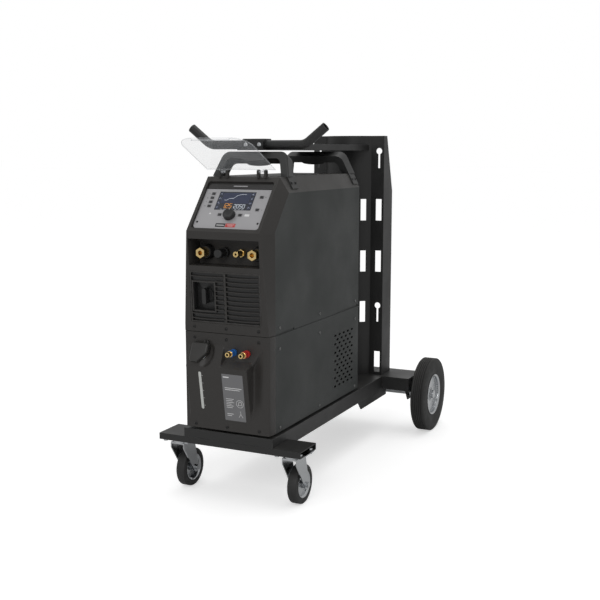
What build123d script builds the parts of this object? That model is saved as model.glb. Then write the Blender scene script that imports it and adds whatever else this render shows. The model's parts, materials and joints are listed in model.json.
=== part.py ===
"""Water-cooled inverter welder on a gas-bottle trolley, in millimetres.

The front faces -Y, +X is to the right of someone facing the control panel, and Z = 0 is the floor.
The middle of the outer box is on the Z axis.
"""
from math import atan2, cos, hypot, radians, sin, sqrt, tan
import os

from build123d import *

# ---------------------------------------------------------------- driving sizes
# trolley
frame_sheet = 2.5
deck_w = 280
deck_l = 836
deck_top = 201
rail_h = 45
beam_w = 447
beam_d = 101
beam_h = 18.5
deck_lip = 25.5
platform_w = 472
platform_d = 134
platform_h = 43
cradle_half = 84
cradle_r = 110
column_half = 130
column_y_from_deck_end = 19
column_flange = 83
column_top = 1024
slot_pitch = 176
slot_w = 21
slot_h = 73
slot_x = 112
# rear wheels
wheel_r = 127
wheel_w = 50
wheel_rim_r = 68
wheel_mid_x = 269.5
wheel_y_from_deck_end = 116
axle_r = 10
# castors
castor_r = 55.5
castor_w = 29
castor_rim_r = 36
castor_x = 179
castor_plate_y = 50.5
castor_trail = 40
castor_plate = (89, 84, 3)
castor_bolt_r = 4
castor_bolt_span = (70, 64)
# machine
case_w = 268
case_sheet = 1.5
case_inset = 33
case_l = 591
foot_h = 6
seam_z = 480
band_z = 860
roof_z = 903
roof_half = 112
fascia_wall = 3
cheek_half = 130
nose_reach = 15.5
nose_z = 759
nose_half = 112
facet_angle = 50.3
facet_l = 186
shoulder_z = 502
# control facet
panel_w = 204
panel_h = 133
panel_s0 = 14
panel_depth = 8
panel_t = 2
screen_size = (112, 61)
screen_s = 108
knob_r = 17
knob_s = 59
knob_l = 13
button_size = (9, 6)
button_travel = 1.0
stem_size = (6, 4)
stem_l = 3.7
guide_play = 0.12
# front sockets
recess_half = 109
recess_z = (665, 738)
recess_back = 50
socket_z = 698
power_x = 80
signal_x = 27
dinse_bore_r = 6.5
# grille and switch
grille_half = 110
grille_z = (507, 650)
slat_pitch = 13
slat_gap = 7
switch_x = -66
switch_z = 580
# cooler front
bulge_z = (232, 388)
shelf_z = 446
bulge_reach = 24
bulge_x = (-118, 90)
coupler_z = 432
coupler_x = (26, 67)
pocket_x = (-30, 84)
pocket_low = 392
coupler_r = 10
cap_x = -86
cap_z = 416.5
cap_r = 30
level_x = -73
level_w = 8
level_z = (264, 374)
# handles and visor
handle_half = 119
handle_top = 965
handle_thick = 22
handle_depth = 38
handle_lean = 28
visor_l = 196
visor_half = 107
visor_t = 3
visor_lip = 5
visor_open = 27
hinge_x = 60
hinge_pin_r = 2.5
# torch bar
bar_r = 12.7
bar_wall = 2
bar_z = 990
bar_y = 186
bar_straight = 150
bar_tip_x = 212
bar_angle = 38
arm_front = 150
arm_flange = 19
clamp_w = 64
clamp_d = 52
clamp_bolt_x = 21
# clearances
play = 0.3
pin_play = 0.08
bolt_play = 0.2
touch = 0.1

# ---------------------------------------------------------------- worked-out places
visor_reach = visor_l * cos(radians(visor_open)) + (visor_lip + visor_t / 2) * sin(radians(visor_open))
facet_run = facet_l * cos(radians(facet_angle))
facet_rise = facet_l * sin(radians(facet_angle))
hinge_from_front = facet_run - nose_reach - 0.5
front_reach = visor_reach - hinge_from_front
rear_reach = deck_l + wheel_y_from_deck_end + wheel_r
front_y = (front_reach - rear_reach) / 2
deck_end = front_y + deck_l
beam_top = deck_top - deck_lip
beam_bottom = beam_top - beam_h
wheel_y = deck_end + wheel_y_from_deck_end
column_y = deck_end + column_y_from_deck_end
case_half = case_w / 2
case_front = front_y + case_inset
case_rear = case_front + case_l
case_bottom = deck_top + foot_h
nose_y = front_y - nose_reach
facet_top_z = nose_z + facet_rise
hinge_y = front_y + hinge_from_front
hinge_z = facet_top_z + 14.5
# the control facet's own plane: x across, y up the slope, z out of the panel
facet = Plane(origin=(0, nose_y, nose_z), x_dir=(1, 0, 0),
              z_dir=(0, -sin(radians(facet_angle)), cos(radians(facet_angle))))
tray_floor = -panel_depth
screw_x = 100
screw_r = 2
side_screw_y = (case_front + 26, case_front + 290, case_rear - 27)
side_screw_z = (case_bottom + 12, 440, 498)
front_screw_z = (case_bottom + 11, 464, 494)

parts_made = []


def keep(label, *solids):
    """Label a piece, or a group of like pieces, and write it."""
    shape = solids[0] if len(solids) == 1 else Compound(children=list(solids))
    shape.label = label
    export_step(shape, "parts/" + label + ".step")
    parts_made.append(label)


def block(xs, ys, zs, mode=Mode.ADD):
    """A box between two corners, in the active part."""
    with Locations(((xs[0] + xs[1]) / 2, (ys[0] + ys[1]) / 2, (zs[0] + zs[1]) / 2)):
        Box(abs(xs[1] - xs[0]), abs(ys[1] - ys[0]), abs(zs[1] - zs[0]), mode=mode)


def rod(centre, axis, radius, length, mode=Mode.ADD):
    """A cylinder from a point along an axis, in the active part."""
    with Locations(Plane(origin=centre, z_dir=axis).location):
        Cylinder(radius, length, align=(Align.CENTER, Align.CENTER, Align.MIN), mode=mode)


def turned(centre, axis, points):
    """A ring or disc: a closed outline of (along, radius) points turned about an axis."""
    across = (0, 0, 1) if abs(axis[2]) < 0.9 else (0, 1, 0)
    plane = Plane(origin=centre, x_dir=axis, z_dir=Vector(*axis).cross(Vector(*across)))
    with BuildPart() as ring:
        with BuildSketch(plane):
            with BuildLine():
                Polyline(*points, close=True)
            make_face()
        revolve(axis=Axis(centre, axis))
    return ring.part


def screw(centre, axis, head_r=4.2, head_h=2.2, shank_r=screw_r, shank_l=6):
    """A domed screw whose head's underside is at the given point."""
    out = Vector(*axis)
    return turned(centre, tuple(out), [
        (-shank_l, 0), (-shank_l, shank_r), (0, shank_r), (0, head_r),
        (head_h * 0.5, head_r * 0.94), (head_h, head_r * 0.55), (head_h, 0)])


os.makedirs("parts", exist_ok=True)

# ---------------------------------------------------------------- trolley frame


def make_tray():
    """Deck that carries the machine: a folded sheet with side rails and a front lip."""
    with BuildPart() as tray:
        block((-deck_w / 2, deck_w / 2), (front_y, deck_end), (deck_top - rail_h, deck_top))
        block((-deck_w / 2 + frame_sheet, deck_w / 2 - frame_sheet), (front_y + frame_sheet, deck_end),
              (deck_top - rail_h, deck_top - frame_sheet), Mode.SUBTRACT)
        block((-deck_w / 2, deck_w / 2), (front_y, front_y + beam_d), (deck_top - rail_h, beam_top),
              Mode.SUBTRACT)
    return tray.part


def make_front_beam():
    """Cross beam over the castors: a shallow folded channel with lips turned in below."""
    lip = castor_plate_y - castor_bolt_span[1] / 2 + 11
    half = beam_w / 2
    with BuildPart() as beam:
        block((-half, half), (front_y, front_y + beam_d), (beam_bottom, beam_top))
        block((-half, half), (front_y + frame_sheet, front_y + beam_d - frame_sheet),
              (beam_bottom + frame_sheet, beam_top - frame_sheet), Mode.SUBTRACT)
        block((-half, half), (front_y + lip, front_y + beam_d - lip),
              (beam_bottom, beam_bottom + frame_sheet), Mode.SUBTRACT)
        with Locations(*[(x, y, beam_bottom) for x, y in castor_bolt_places()]):
            Cylinder(castor_bolt_r + bolt_play, 4 * frame_sheet, mode=Mode.SUBTRACT)
    return beam.part


def castor_bolt_places():
    span_x, span_y = castor_bolt_span
    return [(side * castor_x + sx * span_x / 2, front_y + castor_plate_y + sy * span_y / 2)
            for side in (-1, 1) for sx in (-1, 1) for sy in (-1, 1)]


bracket_x = wheel_mid_x - wheel_w / 2 - 48
bracket_t = 4
seat_half = 84
seat_h = 1


def make_platform():
    """Bottle platform between the rear wheels: a folded sheet, open below."""
    half = platform_w / 2
    rear = deck_end + platform_d
    with BuildPart() as platform:
        block((-half, half), (deck_end, rear), (deck_top - platform_h, deck_top))
        block((-half + frame_sheet, half - frame_sheet), (deck_end + frame_sheet, rear - frame_sheet),
              (deck_top - platform_h, deck_top - frame_sheet), Mode.SUBTRACT)
        block((-seat_half, seat_half), (column_y + frame_sheet + 6, rear - 6), (deck_top - 1, deck_top + seat_h))
    return platform.part


def make_axle_bracket(side):
    """Plate under the platform that holds the axle."""
    x = side * bracket_x
    plane = Plane(origin=(x, wheel_y, wheel_r), x_dir=(0, 1, 0), z_dir=(1, 0, 0))
    top = deck_top - frame_sheet - wheel_r
    front = deck_end + frame_sheet + 40 - wheel_y
    rear = deck_end + platform_d - frame_sheet - 2 - wheel_y
    with BuildPart() as bracket:
        with BuildSketch(plane):
            with BuildLine():
                Polyline((front, top), (rear, top), (rear, 12), (26, -8), (14, -26), (-14, -26),
                         (-26, -8), close=True)
            make_face()
            Circle(axle_r + bolt_play, mode=Mode.SUBTRACT)
        extrude(amount=bracket_t)
    return bracket.part


gusset_start = 621


def make_gusset(side):
    """Stiffener inside a deck rail, running back under the platform."""
    inner = deck_w / 2 - frame_sheet - 4
    bottom = deck_top - rail_h - 29
    plane = Plane(origin=(side * inner, 0, 0), x_dir=(0, 1, 0), z_dir=(1, 0, 0))
    under = deck_top - platform_h
    top = deck_top - frame_sheet - 8
    with BuildPart() as gusset:
        with BuildSketch(plane):
            with BuildLine():
                Polyline((front_y + gusset_start, top), (deck_end, top), (deck_end, under),
                         (deck_end + 48, under), (deck_end + 48, bottom),
                         (front_y + gusset_start + 31, bottom), (front_y + gusset_start, bottom + 33),
                         close=True)
            make_face()
        extrude(amount=side * 4)
    return gusset.part


def make_axle():
    """Rear axle with a collar inside each wheel."""
    reach = wheel_mid_x + wheel_w / 2 - 3
    hub_in = wheel_mid_x - wheel_hub_in - play
    collar = [(bracket_x + bracket_t, axle_r), (bracket_x + bracket_t, axle_r + 4), (hub_in, axle_r + 4),
              (hub_in, axle_r)]
    outline = [(-reach, 0), (-reach, axle_r)]
    outline += [(-x, r) for x, r in reversed(collar)]
    outline += collar
    outline += [(reach, axle_r), (reach, 0)]
    return turned((0, wheel_y, wheel_r), (1, 0, 0), outline)


wheel_hub_in = 26
wheel_hub_out = 12


def make_axle_nut(side):
    """Washer and dome nut on the axle's end."""
    start = wheel_mid_x + wheel_hub_out + play
    centre = (side * start, wheel_y, wheel_r)
    return turned(centre, (side, 0, 0), [
        (0, axle_r + bolt_play), (0, 19), (2.5, 19), (2.5, 15), (9.5, 14), (9.5, axle_r + bolt_play)])


cradle_drop = cradle_r - sqrt(cradle_r ** 2 - cradle_half ** 2)


def make_column():
    """Bottle column: a round cradle, slotted strips each side of it, and side flanges."""
    y_face = column_y
    rear = column_y + column_flange
    inner_r = cradle_r - frame_sheet
    inner_half = cradle_half - frame_sheet
    inner_drop = inner_r - sqrt(inner_r ** 2 - inner_half ** 2)
    with BuildPart() as column:
        with BuildSketch(Plane.XY.offset(deck_top)):
            with BuildLine():
                ThreePointArc((-cradle_half, y_face), (0, y_face - cradle_drop), (cradle_half, y_face))
                Polyline((cradle_half, y_face), (column_half, y_face), (column_half, rear),
                         (column_half - frame_sheet, rear), (column_half - frame_sheet, y_face + frame_sheet),
                         (inner_half, y_face + frame_sheet))
                ThreePointArc((inner_half, y_face + frame_sheet), (0, y_face + frame_sheet - inner_drop),
                              (-inner_half, y_face + frame_sheet))
                Polyline((-inner_half, y_face + frame_sheet),
                         (-column_half + frame_sheet, y_face + frame_sheet),
                         (-column_half + frame_sheet, rear), (-column_half, rear), (-column_half, y_face),
                         (-cradle_half, y_face))
            make_face()
        extrude(amount=column_top - deck_top)
        # the flanges' top corners are cut back
        side_plane = Plane(origin=(-column_half - 1, 0, 0), x_dir=(0, 1, 0), z_dir=(1, 0, 0))
        with BuildSketch(side_plane):
            with BuildLine():
                Polyline((y_face + 28, column_top + 1), (rear + 1, column_top + 1),
                         (rear + 1, column_top - 184), (rear - 1, column_top - 184), close=True)
            make_face()
        extrude(amount=2 * column_half + 2, mode=Mode.SUBTRACT)
        # strap slots and keyholes
        face = Plane(origin=(0, y_face - cradle_r, 0), x_dir=(1, 0, 0), z_dir=(0, -1, 0))
        with BuildSketch(face):
            for level, kind in enumerate(("key", "slot", "slot", "key", "slot")):
                z = column_top - 73 - level * slot_pitch
                for side in (-1, 1):
                    if kind == "slot":
                        with Locations((side * slot_x, z)):
                            Rectangle(slot_w, slot_h)
                    else:
                        with Locations((side * slot_x, z + 22)):
                            Circle(slot_w / 2)
                        with Locations((side * slot_x, z - 8)):
                            Rectangle(slot_w / 3, 54)
                    if 1 <= level <= 3:
                        with Locations((side * (cradle_half - slot_w), z)):
                            Rectangle(slot_w * 0.8, slot_h)
        extrude(amount=-2 * cradle_r, mode=Mode.SUBTRACT)
    return column.part


def make_arm():
    """Arm from the column's top to the torch bar: a folded sheet that narrows forwards."""
    front = front_y + arm_front
    rear = column_y
    low = bar_z - bar_r - frame_sheet
    front_half = clamp_w / 2 + 12
    rear_half = cradle_half - 6
    with BuildPart() as arm:
        with BuildSketch(Plane.XY.offset(low)):
            with BuildLine():
                Polyline((-front_half, front), (front_half, front), (rear_half, rear), (-rear_half, rear),
                         close=True)
            make_face()
        extrude(amount=arm_flange)
        with BuildSketch(Plane.XY.offset(low + frame_sheet)):
            with BuildLine():
                Polyline((-front_half + frame_sheet, front - 1), (front_half - frame_sheet, front - 1),
                         (rear_half - frame_sheet, rear + 1), (-rear_half + frame_sheet, rear + 1), close=True)
            make_face()
        extrude(amount=arm_flange, mode=Mode.SUBTRACT)
        # side flanges taper away towards the bar
        side_plane = Plane(origin=(-column_half, 0, 0), x_dir=(0, 1, 0), z_dir=(1, 0, 0))
        with BuildSketch(side_plane):
            with BuildLine():
                Polyline((front - 1, low + frame_sheet), (front + 80, low + frame_sheet),
                         (front + 200, low + arm_flange + 1), (front - 1, low + arm_flange + 1), close=True)
            make_face()
        extrude(amount=2 * column_half, mode=Mode.SUBTRACT)
        # the rear edge wraps the round cradle
        rod((0, column_y - cradle_drop + cradle_r, low - 1), (0, 0, 1), cradle_r + play, arm_flange + 2,
            Mode.SUBTRACT)
    return arm.part


def make_clamp():
    """Saddle that holds the torch bar on the arm, with two bolts through the bar."""
    y = front_y + bar_y
    low = bar_z - bar_r
    high = bar_z + bar_r + 4
    with BuildPart() as clamp:
        with BuildSketch(Plane(origin=(-clamp_w / 2, y, 0), x_dir=(0, 1, 0), z_dir=(1, 0, 0))):
            with Locations((0, (low + high) / 2)):
                RectangleRounded(clamp_d, high - low, 4)
            with Locations((0, low + 3)):
                Rectangle(clamp_d, 6)
            with Locations((0, bar_z)):
                Circle(bar_r + touch, mode=Mode.SUBTRACT)
        extrude(amount=clamp_w)
        for side in (-1, 1):
            rod((side * clamp_bolt_x, y - clamp_d, bar_z), (0, 1, 0), 3 + bolt_play, 2 * clamp_d, Mode.SUBTRACT)
    return clamp.part


def make_torch_bar():
    """Round tube for hanging the torch and cables, with its ends bent up."""
    y = front_y + bar_y
    rise = (bar_tip_x - bar_straight) * tan(radians(bar_angle))
    with BuildPart() as bar:
        with BuildLine() as route:
            FilletPolyline((-bar_tip_x, y, bar_z + rise), (-bar_straight, y, bar_z),
                           (bar_straight, y, bar_z), (bar_tip_x, y, bar_z + rise), radius=45)
        with BuildSketch(Plane(origin=route.wires()[0] @ 0, z_dir=route.wires()[0] % 0)):
            Circle(bar_r)
            Circle(bar_r - bar_wall, mode=Mode.SUBTRACT)
        sweep()
        for side in (-1, 1):
            rod((side * clamp_bolt_x, y - clamp_d, bar_z), (0, 1, 0), 3 + bolt_play, 2 * clamp_d, Mode.SUBTRACT)
    return bar.part


# ---------------------------------------------------------------- castors

castor_plate_bottom = beam_bottom - castor_plate[2]
crown_top = castor_plate_bottom - play
crown_h = 13
kingpin_r = 8


def make_castor_plate(side):
    """Top plate with the kingpin that the fork turns on."""
    x = side * castor_x
    y = front_y + castor_plate_y
    half_x = castor_plate[0] / 2
    half_y = castor_plate[1] / 2
    with BuildPart() as plate:
        block((x - half_x, x + half_x), (y - half_y, y + half_y), (castor_plate_bottom, beam_bottom))
        with Locations(*[(px, py, beam_bottom) for px, py in castor_bolt_places()]):
            Cylinder(castor_bolt_r + bolt_play, 20, mode=Mode.SUBTRACT)
        rod((x, y, castor_plate_bottom), (0, 0, -1), kingpin_r, crown_h + 2 * play + 4)
        rod((x, y, crown_top - crown_h - play), (0, 0, -1), kingpin_r + 4, 4)
    return plate.part


def make_castor_fork(side):
    """Swivelling crown and two trailing legs."""
    x = side * castor_x
    y = front_y + castor_plate_y
    leg_out = castor_w / 2 + 8
    leg_in = leg_out - 3
    with BuildPart() as fork:
        rod((x, y, crown_top), (0, 0, -1), 27, crown_h - 4)
        block((x - leg_out, x + leg_out), (y - 27, y + 30), (crown_top - crown_h, crown_top - crown_h + 4))
        legs = Plane(origin=(x - leg_out, y, 0), x_dir=(0, 1, 0), z_dir=(1, 0, 0))
        with BuildSketch(legs):
            with Locations((1.5, crown_top - crown_h - 4)):
                Rectangle(57, 16)
            with Locations((castor_trail, castor_r)):
                Circle(13)
            make_hull()
        extrude(amount=2 * leg_out)
        block((x - leg_in, x + leg_in), (y - 60, y + 100), (0, crown_top - crown_h), Mode.SUBTRACT)
        rod((x, y, crown_top + 1), (0, 0, -1), kingpin_r + pin_play, 40, Mode.SUBTRACT)
        rod((x - 60, y + castor_trail, castor_r), (1, 0, 0), 5 + bolt_play, 120, Mode.SUBTRACT)
        block((x - 60, x + 60), (y - 100, y + 140), (crown_top, crown_top + 60), Mode.SUBTRACT)
    axle = turned((x, y + castor_trail, castor_r), (1, 0, 0), [
        (-leg_out - 5, 0), (-leg_out - 5, 8), (-leg_out, 8), (-leg_out, 5), (leg_out, 5), (leg_out, 8),
        (leg_out + 6, 8), (leg_out + 6, 0)])
    return fork.part, axle


def make_wheel(side, mid_x, y, radius, rim_r, width, bore_r, hub_r, hub_in, hub_out, grooves):
    """A solid tyre on a pressed rim. The outer face is away from the middle of the trolley."""
    centre = (side * mid_x, y, radius)
    axis = (side, 0, 0)
    half = width / 2
    bead = half * 0.76
    crown = half * 0.8
    lip = 3
    depth = radius * 0.02
    tread = [(-crown, radius)]
    pitch = 2 * crown / (grooves + 1)
    groove = pitch * 0.22
    for i in range(grooves):
        x = -crown + pitch * (i + 1)
        tread += [(x - groove, radius), (x - groove / 2, radius - depth), (x + groove / 2, radius - depth),
                  (x + groove, radius)]
    tread += [(crown, radius)]
    tyre = turned(centre, axis, [
        (-bead, rim_r), (-half, rim_r + (radius - rim_r) * 0.42), (-half, rim_r + (radius - rim_r) * 0.62),
        (-half * 0.93, radius * 0.972)] + tread + [
        (half * 0.93, radius * 0.972), (half, rim_r + (radius - rim_r) * 0.62),
        (half, rim_r + (radius - rim_r) * 0.42), (bead, rim_r)])
    web = bead * 0.3
    rim = turned(centre, axis, [
        (-hub_in, bore_r), (hub_out, bore_r), (hub_out, hub_r), (web + lip, hub_r + 2),
        (web + lip, rim_r * 0.62), (bead * 0.55, rim_r - 4), (bead, rim_r - 4), (bead + lip, rim_r + 1),
        (bead + lip, rim_r + 3), (bead + 0.5, rim_r), (-bead - 0.5, rim_r),
        (-bead - lip, rim_r + 3), (-bead - lip, rim_r + 1), (-bead, rim_r - 4), (0, rim_r - 4),
        (web - 1, rim_r * 0.58), (web - 1, hub_r + 2), (-2, hub_r), (-hub_in, hub_r)])
    return tyre, rim


def make_trolley():
    keep("tray", make_tray())
    keep("front_beam", make_front_beam())
    keep("rear_platform", make_platform())
    keep("frame_brackets", make_axle_bracket(-1), make_axle_bracket(1), make_gusset(-1), make_gusset(1))
    keep("rear_axle", make_axle())
    keep("gas_column", make_column())
    keep("bar_arm", make_arm())
    keep("bar_clamp", make_clamp())
    keep("torch_bar", make_torch_bar())
    bolts = []
    for x, y in castor_bolt_places():
        bolts.append(turned((x, y, castor_plate_bottom), (0, 0, 1), [
            (-5, 0), (-5, 6.5), (0, 6.5), (0, castor_bolt_r), (castor_plate[2] + frame_sheet, castor_bolt_r),
            (castor_plate[2] + frame_sheet, 6.5), (castor_plate[2] + frame_sheet + 6, 6.5),
            (castor_plate[2] + frame_sheet + 6, 0)]))
    for side in (-1, 1):
        bolts.append(turned((side * clamp_bolt_x, front_y + bar_y - clamp_d / 2, bar_z), (0, 1, 0), [
            (-4, 0), (-4, 4), (-2, 6.5), (0, 6.5), (0, 3), (clamp_d, 3), (clamp_d, 6), (clamp_d + 5, 6),
            (clamp_d + 5, 0)]))
        bolts.append(make_axle_nut(side))
    keep("trolley_fasteners", *bolts)
    keep("castor_plates", make_castor_plate(-1), make_castor_plate(1))
    for side, name in ((-1, "left"), (1, "right")):
        keep("castor_fork_" + name, *make_castor_fork(side))
        tyre, rim = make_wheel(side, castor_x, front_y + castor_plate_y + castor_trail, castor_r,
                               castor_rim_r, castor_w, 5 + pin_play, 10, castor_w / 2 + 4.5,
                               castor_w / 2 + 4.5, 0)
        keep("castor_tyre_" + name, tyre)
        keep("castor_rim_" + name, rim)
        tyre, rim = make_wheel(side, wheel_mid_x, wheel_y, wheel_r, wheel_rim_r, wheel_w,
                               axle_r + pin_play, 21, wheel_hub_in, wheel_hub_out, 5)
        keep("rear_tyre_" + name, tyre)
        keep("rear_rim_" + name, rim)



# ---------------------------------------------------------------- casing

cheek_depth = case_inset + nose_reach
brow_tilt = atan2(nose_reach, nose_z - shoulder_z)
# the front wall between shoulder and nose leans forward a little
brow = Plane(origin=(0, front_y, shoulder_z), x_dir=(1, 0, 0), z_dir=(0, -cos(brow_tilt), -sin(brow_tilt)))


def facet_y(z):
    """Y of the control facet at a height."""
    return nose_y + (z - nose_z) / tan(radians(facet_angle))


def fascia_form(wall):
    """The source's front as a solid form, drawn in by a wall thickness."""
    slope_wall = wall / sin(radians(facet_angle))
    top = facet_top_z - wall
    stages = [
        (seam_z + 1, cheek_half, front_y, case_front, wall),
        (shoulder_z, cheek_half, front_y, case_front, wall),
        (nose_z, nose_half, nose_y, case_front, slope_wall),
        (top, nose_half, facet_y(top), facet_y(top) + cheek_depth, slope_wall)]
    if wall:
        stages[0] = (seam_z - 5, cheek_half, front_y, case_front, wall)
    with BuildPart() as form:
        for low, high in zip(stages[:-1], stages[1:]):
            with BuildSketch(Plane.XY.offset(low[0])):
                with BuildLine():
                    Polyline(*section_points(low), close=True)
                make_face()
            with BuildSketch(Plane.XY.offset(high[0])):
                with BuildLine():
                    Polyline(*section_points(high), close=True)
                make_face()
            loft(ruled=True)
    return form.part


def section_points(stage):
    z, front_half, front, rear, wall = stage
    half = case_half - (fascia_wall if wall else 0)
    inner_front = front_half - (fascia_wall if wall else 0)
    back = rear + (40 if wall else 0)
    points = [(-half, rear), (-inner_front, front + wall), (inner_front, front + wall), (half, rear)]
    if wall:
        points += [(half, back), (-half, back)]
    return points


def band_cut(shrink):
    """What the inclined roof band leaves outside, as two wedges along the case."""
    with BuildPart() as wedges:
        with BuildSketch(Plane(origin=(0, front_y - 40, 0), x_dir=(1, 0, 0), z_dir=(0, -1, 0))):
            for side in (-1, 1):
                with BuildLine():
                    Polyline((side * (case_half - shrink), band_z), (side * (roof_half - shrink), roof_z),
                             (side * (roof_half - shrink), roof_z + 60), (side * (case_half + 60), roof_z + 60),
                             (side * (case_half + 60), band_z), close=True)
                make_face()
        extrude(amount=-(case_l + 200))
    return wedges.part


def recess_rim():
    """Front end of the socket recess, trimmed to the leaning front wall."""
    wall = fascia_wall
    with BuildPart() as rim:
        block((-recess_half - wall, recess_half + wall), (front_y - 30, front_y + 2),
              (recess_z[0] - wall, recess_z[1] + wall))
        add(fascia_form(0), mode=Mode.INTERSECT)
    return rim.part


def make_source_fascia():
    """Moulded front of the welding source."""
    wall = fascia_wall
    low_z, high_z = recess_z
    back = front_y + recess_back
    s_low, s_high = panel_s0 - 3, facet_l - 16
    pocket_half = panel_w / 2 + 1
    with BuildPart() as shell:
        add(fascia_form(0))
        add(band_cut(0), mode=Mode.SUBTRACT)
        inner = fascia_form(wall)
        inner -= band_cut(wall * 1.2)
        add(inner, mode=Mode.SUBTRACT)
        # recess for the outlet sockets
        add(recess_rim())
        block((-recess_half - wall, recess_half + wall), (front_y + 1, back + wall),
              (low_z - wall, high_z + wall))
        block((-recess_half, recess_half), (front_y - 60, back), (low_z, high_z), Mode.SUBTRACT)
        # sunken tray for the control panel
        with BuildSketch(facet.offset(tray_floor - 4)):
            with Locations((0, (s_low + s_high) / 2)):
                Rectangle(2 * pocket_half + 6, s_high - s_low + 6)
        extrude(amount=4 - tray_floor - 1)
        with BuildSketch(facet.offset(tray_floor)):
            with Locations((0, (s_low + s_high) / 2)):
                RectangleRounded(2 * pocket_half, s_high - s_low, 8)
        extrude(amount=40, mode=Mode.SUBTRACT)
        with BuildSketch(facet.offset(tray_floor)):
            with Locations((0, screen_s)):
                Rectangle(screen_size[0] - 8, screen_size[1] - 8)
            with Locations((0, knob_s)):
                Circle(4.5)
            with Locations(*button_places()):
                Rectangle(stem_size[0] + 2 * guide_play, stem_size[1] + 2 * guide_play)
        extrude(amount=-30, mode=Mode.SUBTRACT)
        # grille window
        with BuildSketch(brow.offset(30)):
            with Locations((0, (sum(grille_z)) / 2 - shoulder_z)):
                RectangleRounded(2 * grille_half, grille_z[1] - grille_z[0], 5)
        extrude(amount=-30 - wall - 4, mode=Mode.SUBTRACT)
        # socket holes
        for x, radius in socket_holes():
            rod((x, back - 20, socket_z), (0, 1, 0), radius, 40, Mode.SUBTRACT)
        for x in (-screw_x, 0, screw_x):
            rod((x, front_y - 5, front_screw_z[2]), (0, 1, 0), screw_r + bolt_play, 12, Mode.SUBTRACT)
        # ears that carry the visor
        for x in ear_places():
            block((x - ear_t / 2, x + ear_t / 2), (hinge_y - 6, hinge_y + 6), (facet_top_z - wall, hinge_z))
            rod((x - ear_t / 2, hinge_y, hinge_z), (1, 0, 0), 6, ear_t)
            rod((x - ear_t, hinge_y, hinge_z), (1, 0, 0), hinge_pin_r + bolt_play, 2 * ear_t, Mode.SUBTRACT)
    return shell.part


ear_t = 6
knuckle_half = 8


def ear_places():
    reach = knuckle_half + play + ear_t / 2
    return [side * hinge_x + sx * reach for side in (-1, 1) for sx in (-1, 1)]


def button_places():
    """Centres of the eight panel buttons on the facet."""
    left = [(-75, 131 - 14 * i) for i in range(4)]
    right = [(77, 122), (77, 80)]
    return left + right + [(-32, 61), (31, 61)]


def socket_holes():
    return [(-power_x, 15), (power_x, 15), (-signal_x, 9), (signal_x, 6)]


flange_t = 1.5
flange_seat = fascia_wall / sin(radians(facet_angle)) + play


def make_grille():
    """Louvre grille with the switch window."""
    s0 = grille_z[0] - shoulder_z
    s1 = grille_z[1] - shoulder_z
    mid = (s0 + s1) / 2
    slats = int((s1 - s0 - 8) / slat_pitch)
    rib_half = 3
    window = switch_window()
    with BuildPart() as grille:
        with BuildSketch(brow.offset(-fascia_wall)):
            with Locations((0, mid)):
                RectangleRounded(2 * grille_half - 2 * play, s1 - s0 - 2 * play, 5)
        extrude(amount=fascia_wall)
        with BuildSketch(brow.offset(-flange_seat)):
            with Locations((0, mid)):
                RectangleRounded(2 * grille_half + 8, s1 - s0 + 8, 5)
        extrude(amount=-flange_t)
        with BuildSketch(brow.offset(-flange_seat - 1)):
            with Locations((0, mid)):
                RectangleRounded(2 * grille_half - 4, s1 - s0 - 4, 4)
        extrude(amount=flange_seat - 1)
        with BuildSketch(brow.offset(10)):
            for i in range(slats):
                s = s0 + 4 + slat_pitch * (i + 0.5)
                for x0, x1 in ((-grille_half + 6, -rib_half), (rib_half, grille_half - 6)):
                    with Locations(((x0 + x1) / 2, s)):
                        Rectangle(x1 - x0, slat_gap)
        extrude(amount=-30, mode=Mode.SUBTRACT)
        with BuildSketch(brow.offset(-flange_seat - flange_t)):
            with Locations(window[0]):
                Rectangle(window[1] + 10, window[2] + 10)
        extrude(amount=flange_seat + flange_t)
        with BuildSketch(brow.offset(10)):
            with Locations(window[0]):
                Rectangle(window[1], window[2])
        extrude(amount=-30, mode=Mode.SUBTRACT)
    return grille.part


switch_depth = 22


def switch_window():
    return (switch_x, switch_z - shoulder_z), 66, 78


def make_switch_plate():
    """Sunken housing of the mains switch, with the switch body behind it."""
    centre, width, height = switch_window()
    back = -flange_seat - flange_t - play
    depth = switch_depth
    with BuildPart() as plate:
        with BuildSketch(brow.offset(back)):
            with Locations(centre):
                Rectangle(width + 8, height + 8)
        extrude(amount=-depth)
        with BuildSketch(brow.offset(back)):
            with Locations(centre):
                Rectangle(width, height)
        extrude(amount=-depth + 2.5, mode=Mode.SUBTRACT)
        with BuildSketch(brow.offset(back - depth)):
            with Locations(centre):
                Rectangle(46, 56)
        extrude(amount=-34)
        with BuildSketch(brow.offset(back)):
            with Locations(centre):
                Circle(4 + pin_play)
        extrude(amount=-depth - 20, mode=Mode.SUBTRACT)
    return plate.part


def make_switch_handle():
    """Bar handle that turns the mains switch."""
    centre, width, height = switch_window()
    floor = -flange_seat - flange_t - play - switch_depth + 2.5
    with BuildPart() as handle:
        with BuildSketch(brow.offset(floor + play)):
            with Locations(centre):
                Circle(19)
        extrude(amount=4)
        with BuildSketch(brow.offset(floor + play)):
            with Locations(centre):
                SlotOverall(44, 12, rotation=90)
        extrude(amount=25)
        with BuildSketch(brow.offset(floor + play)):
            with Locations(centre):
                Circle(4)
        extrude(amount=-15)
    return handle.part


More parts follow.
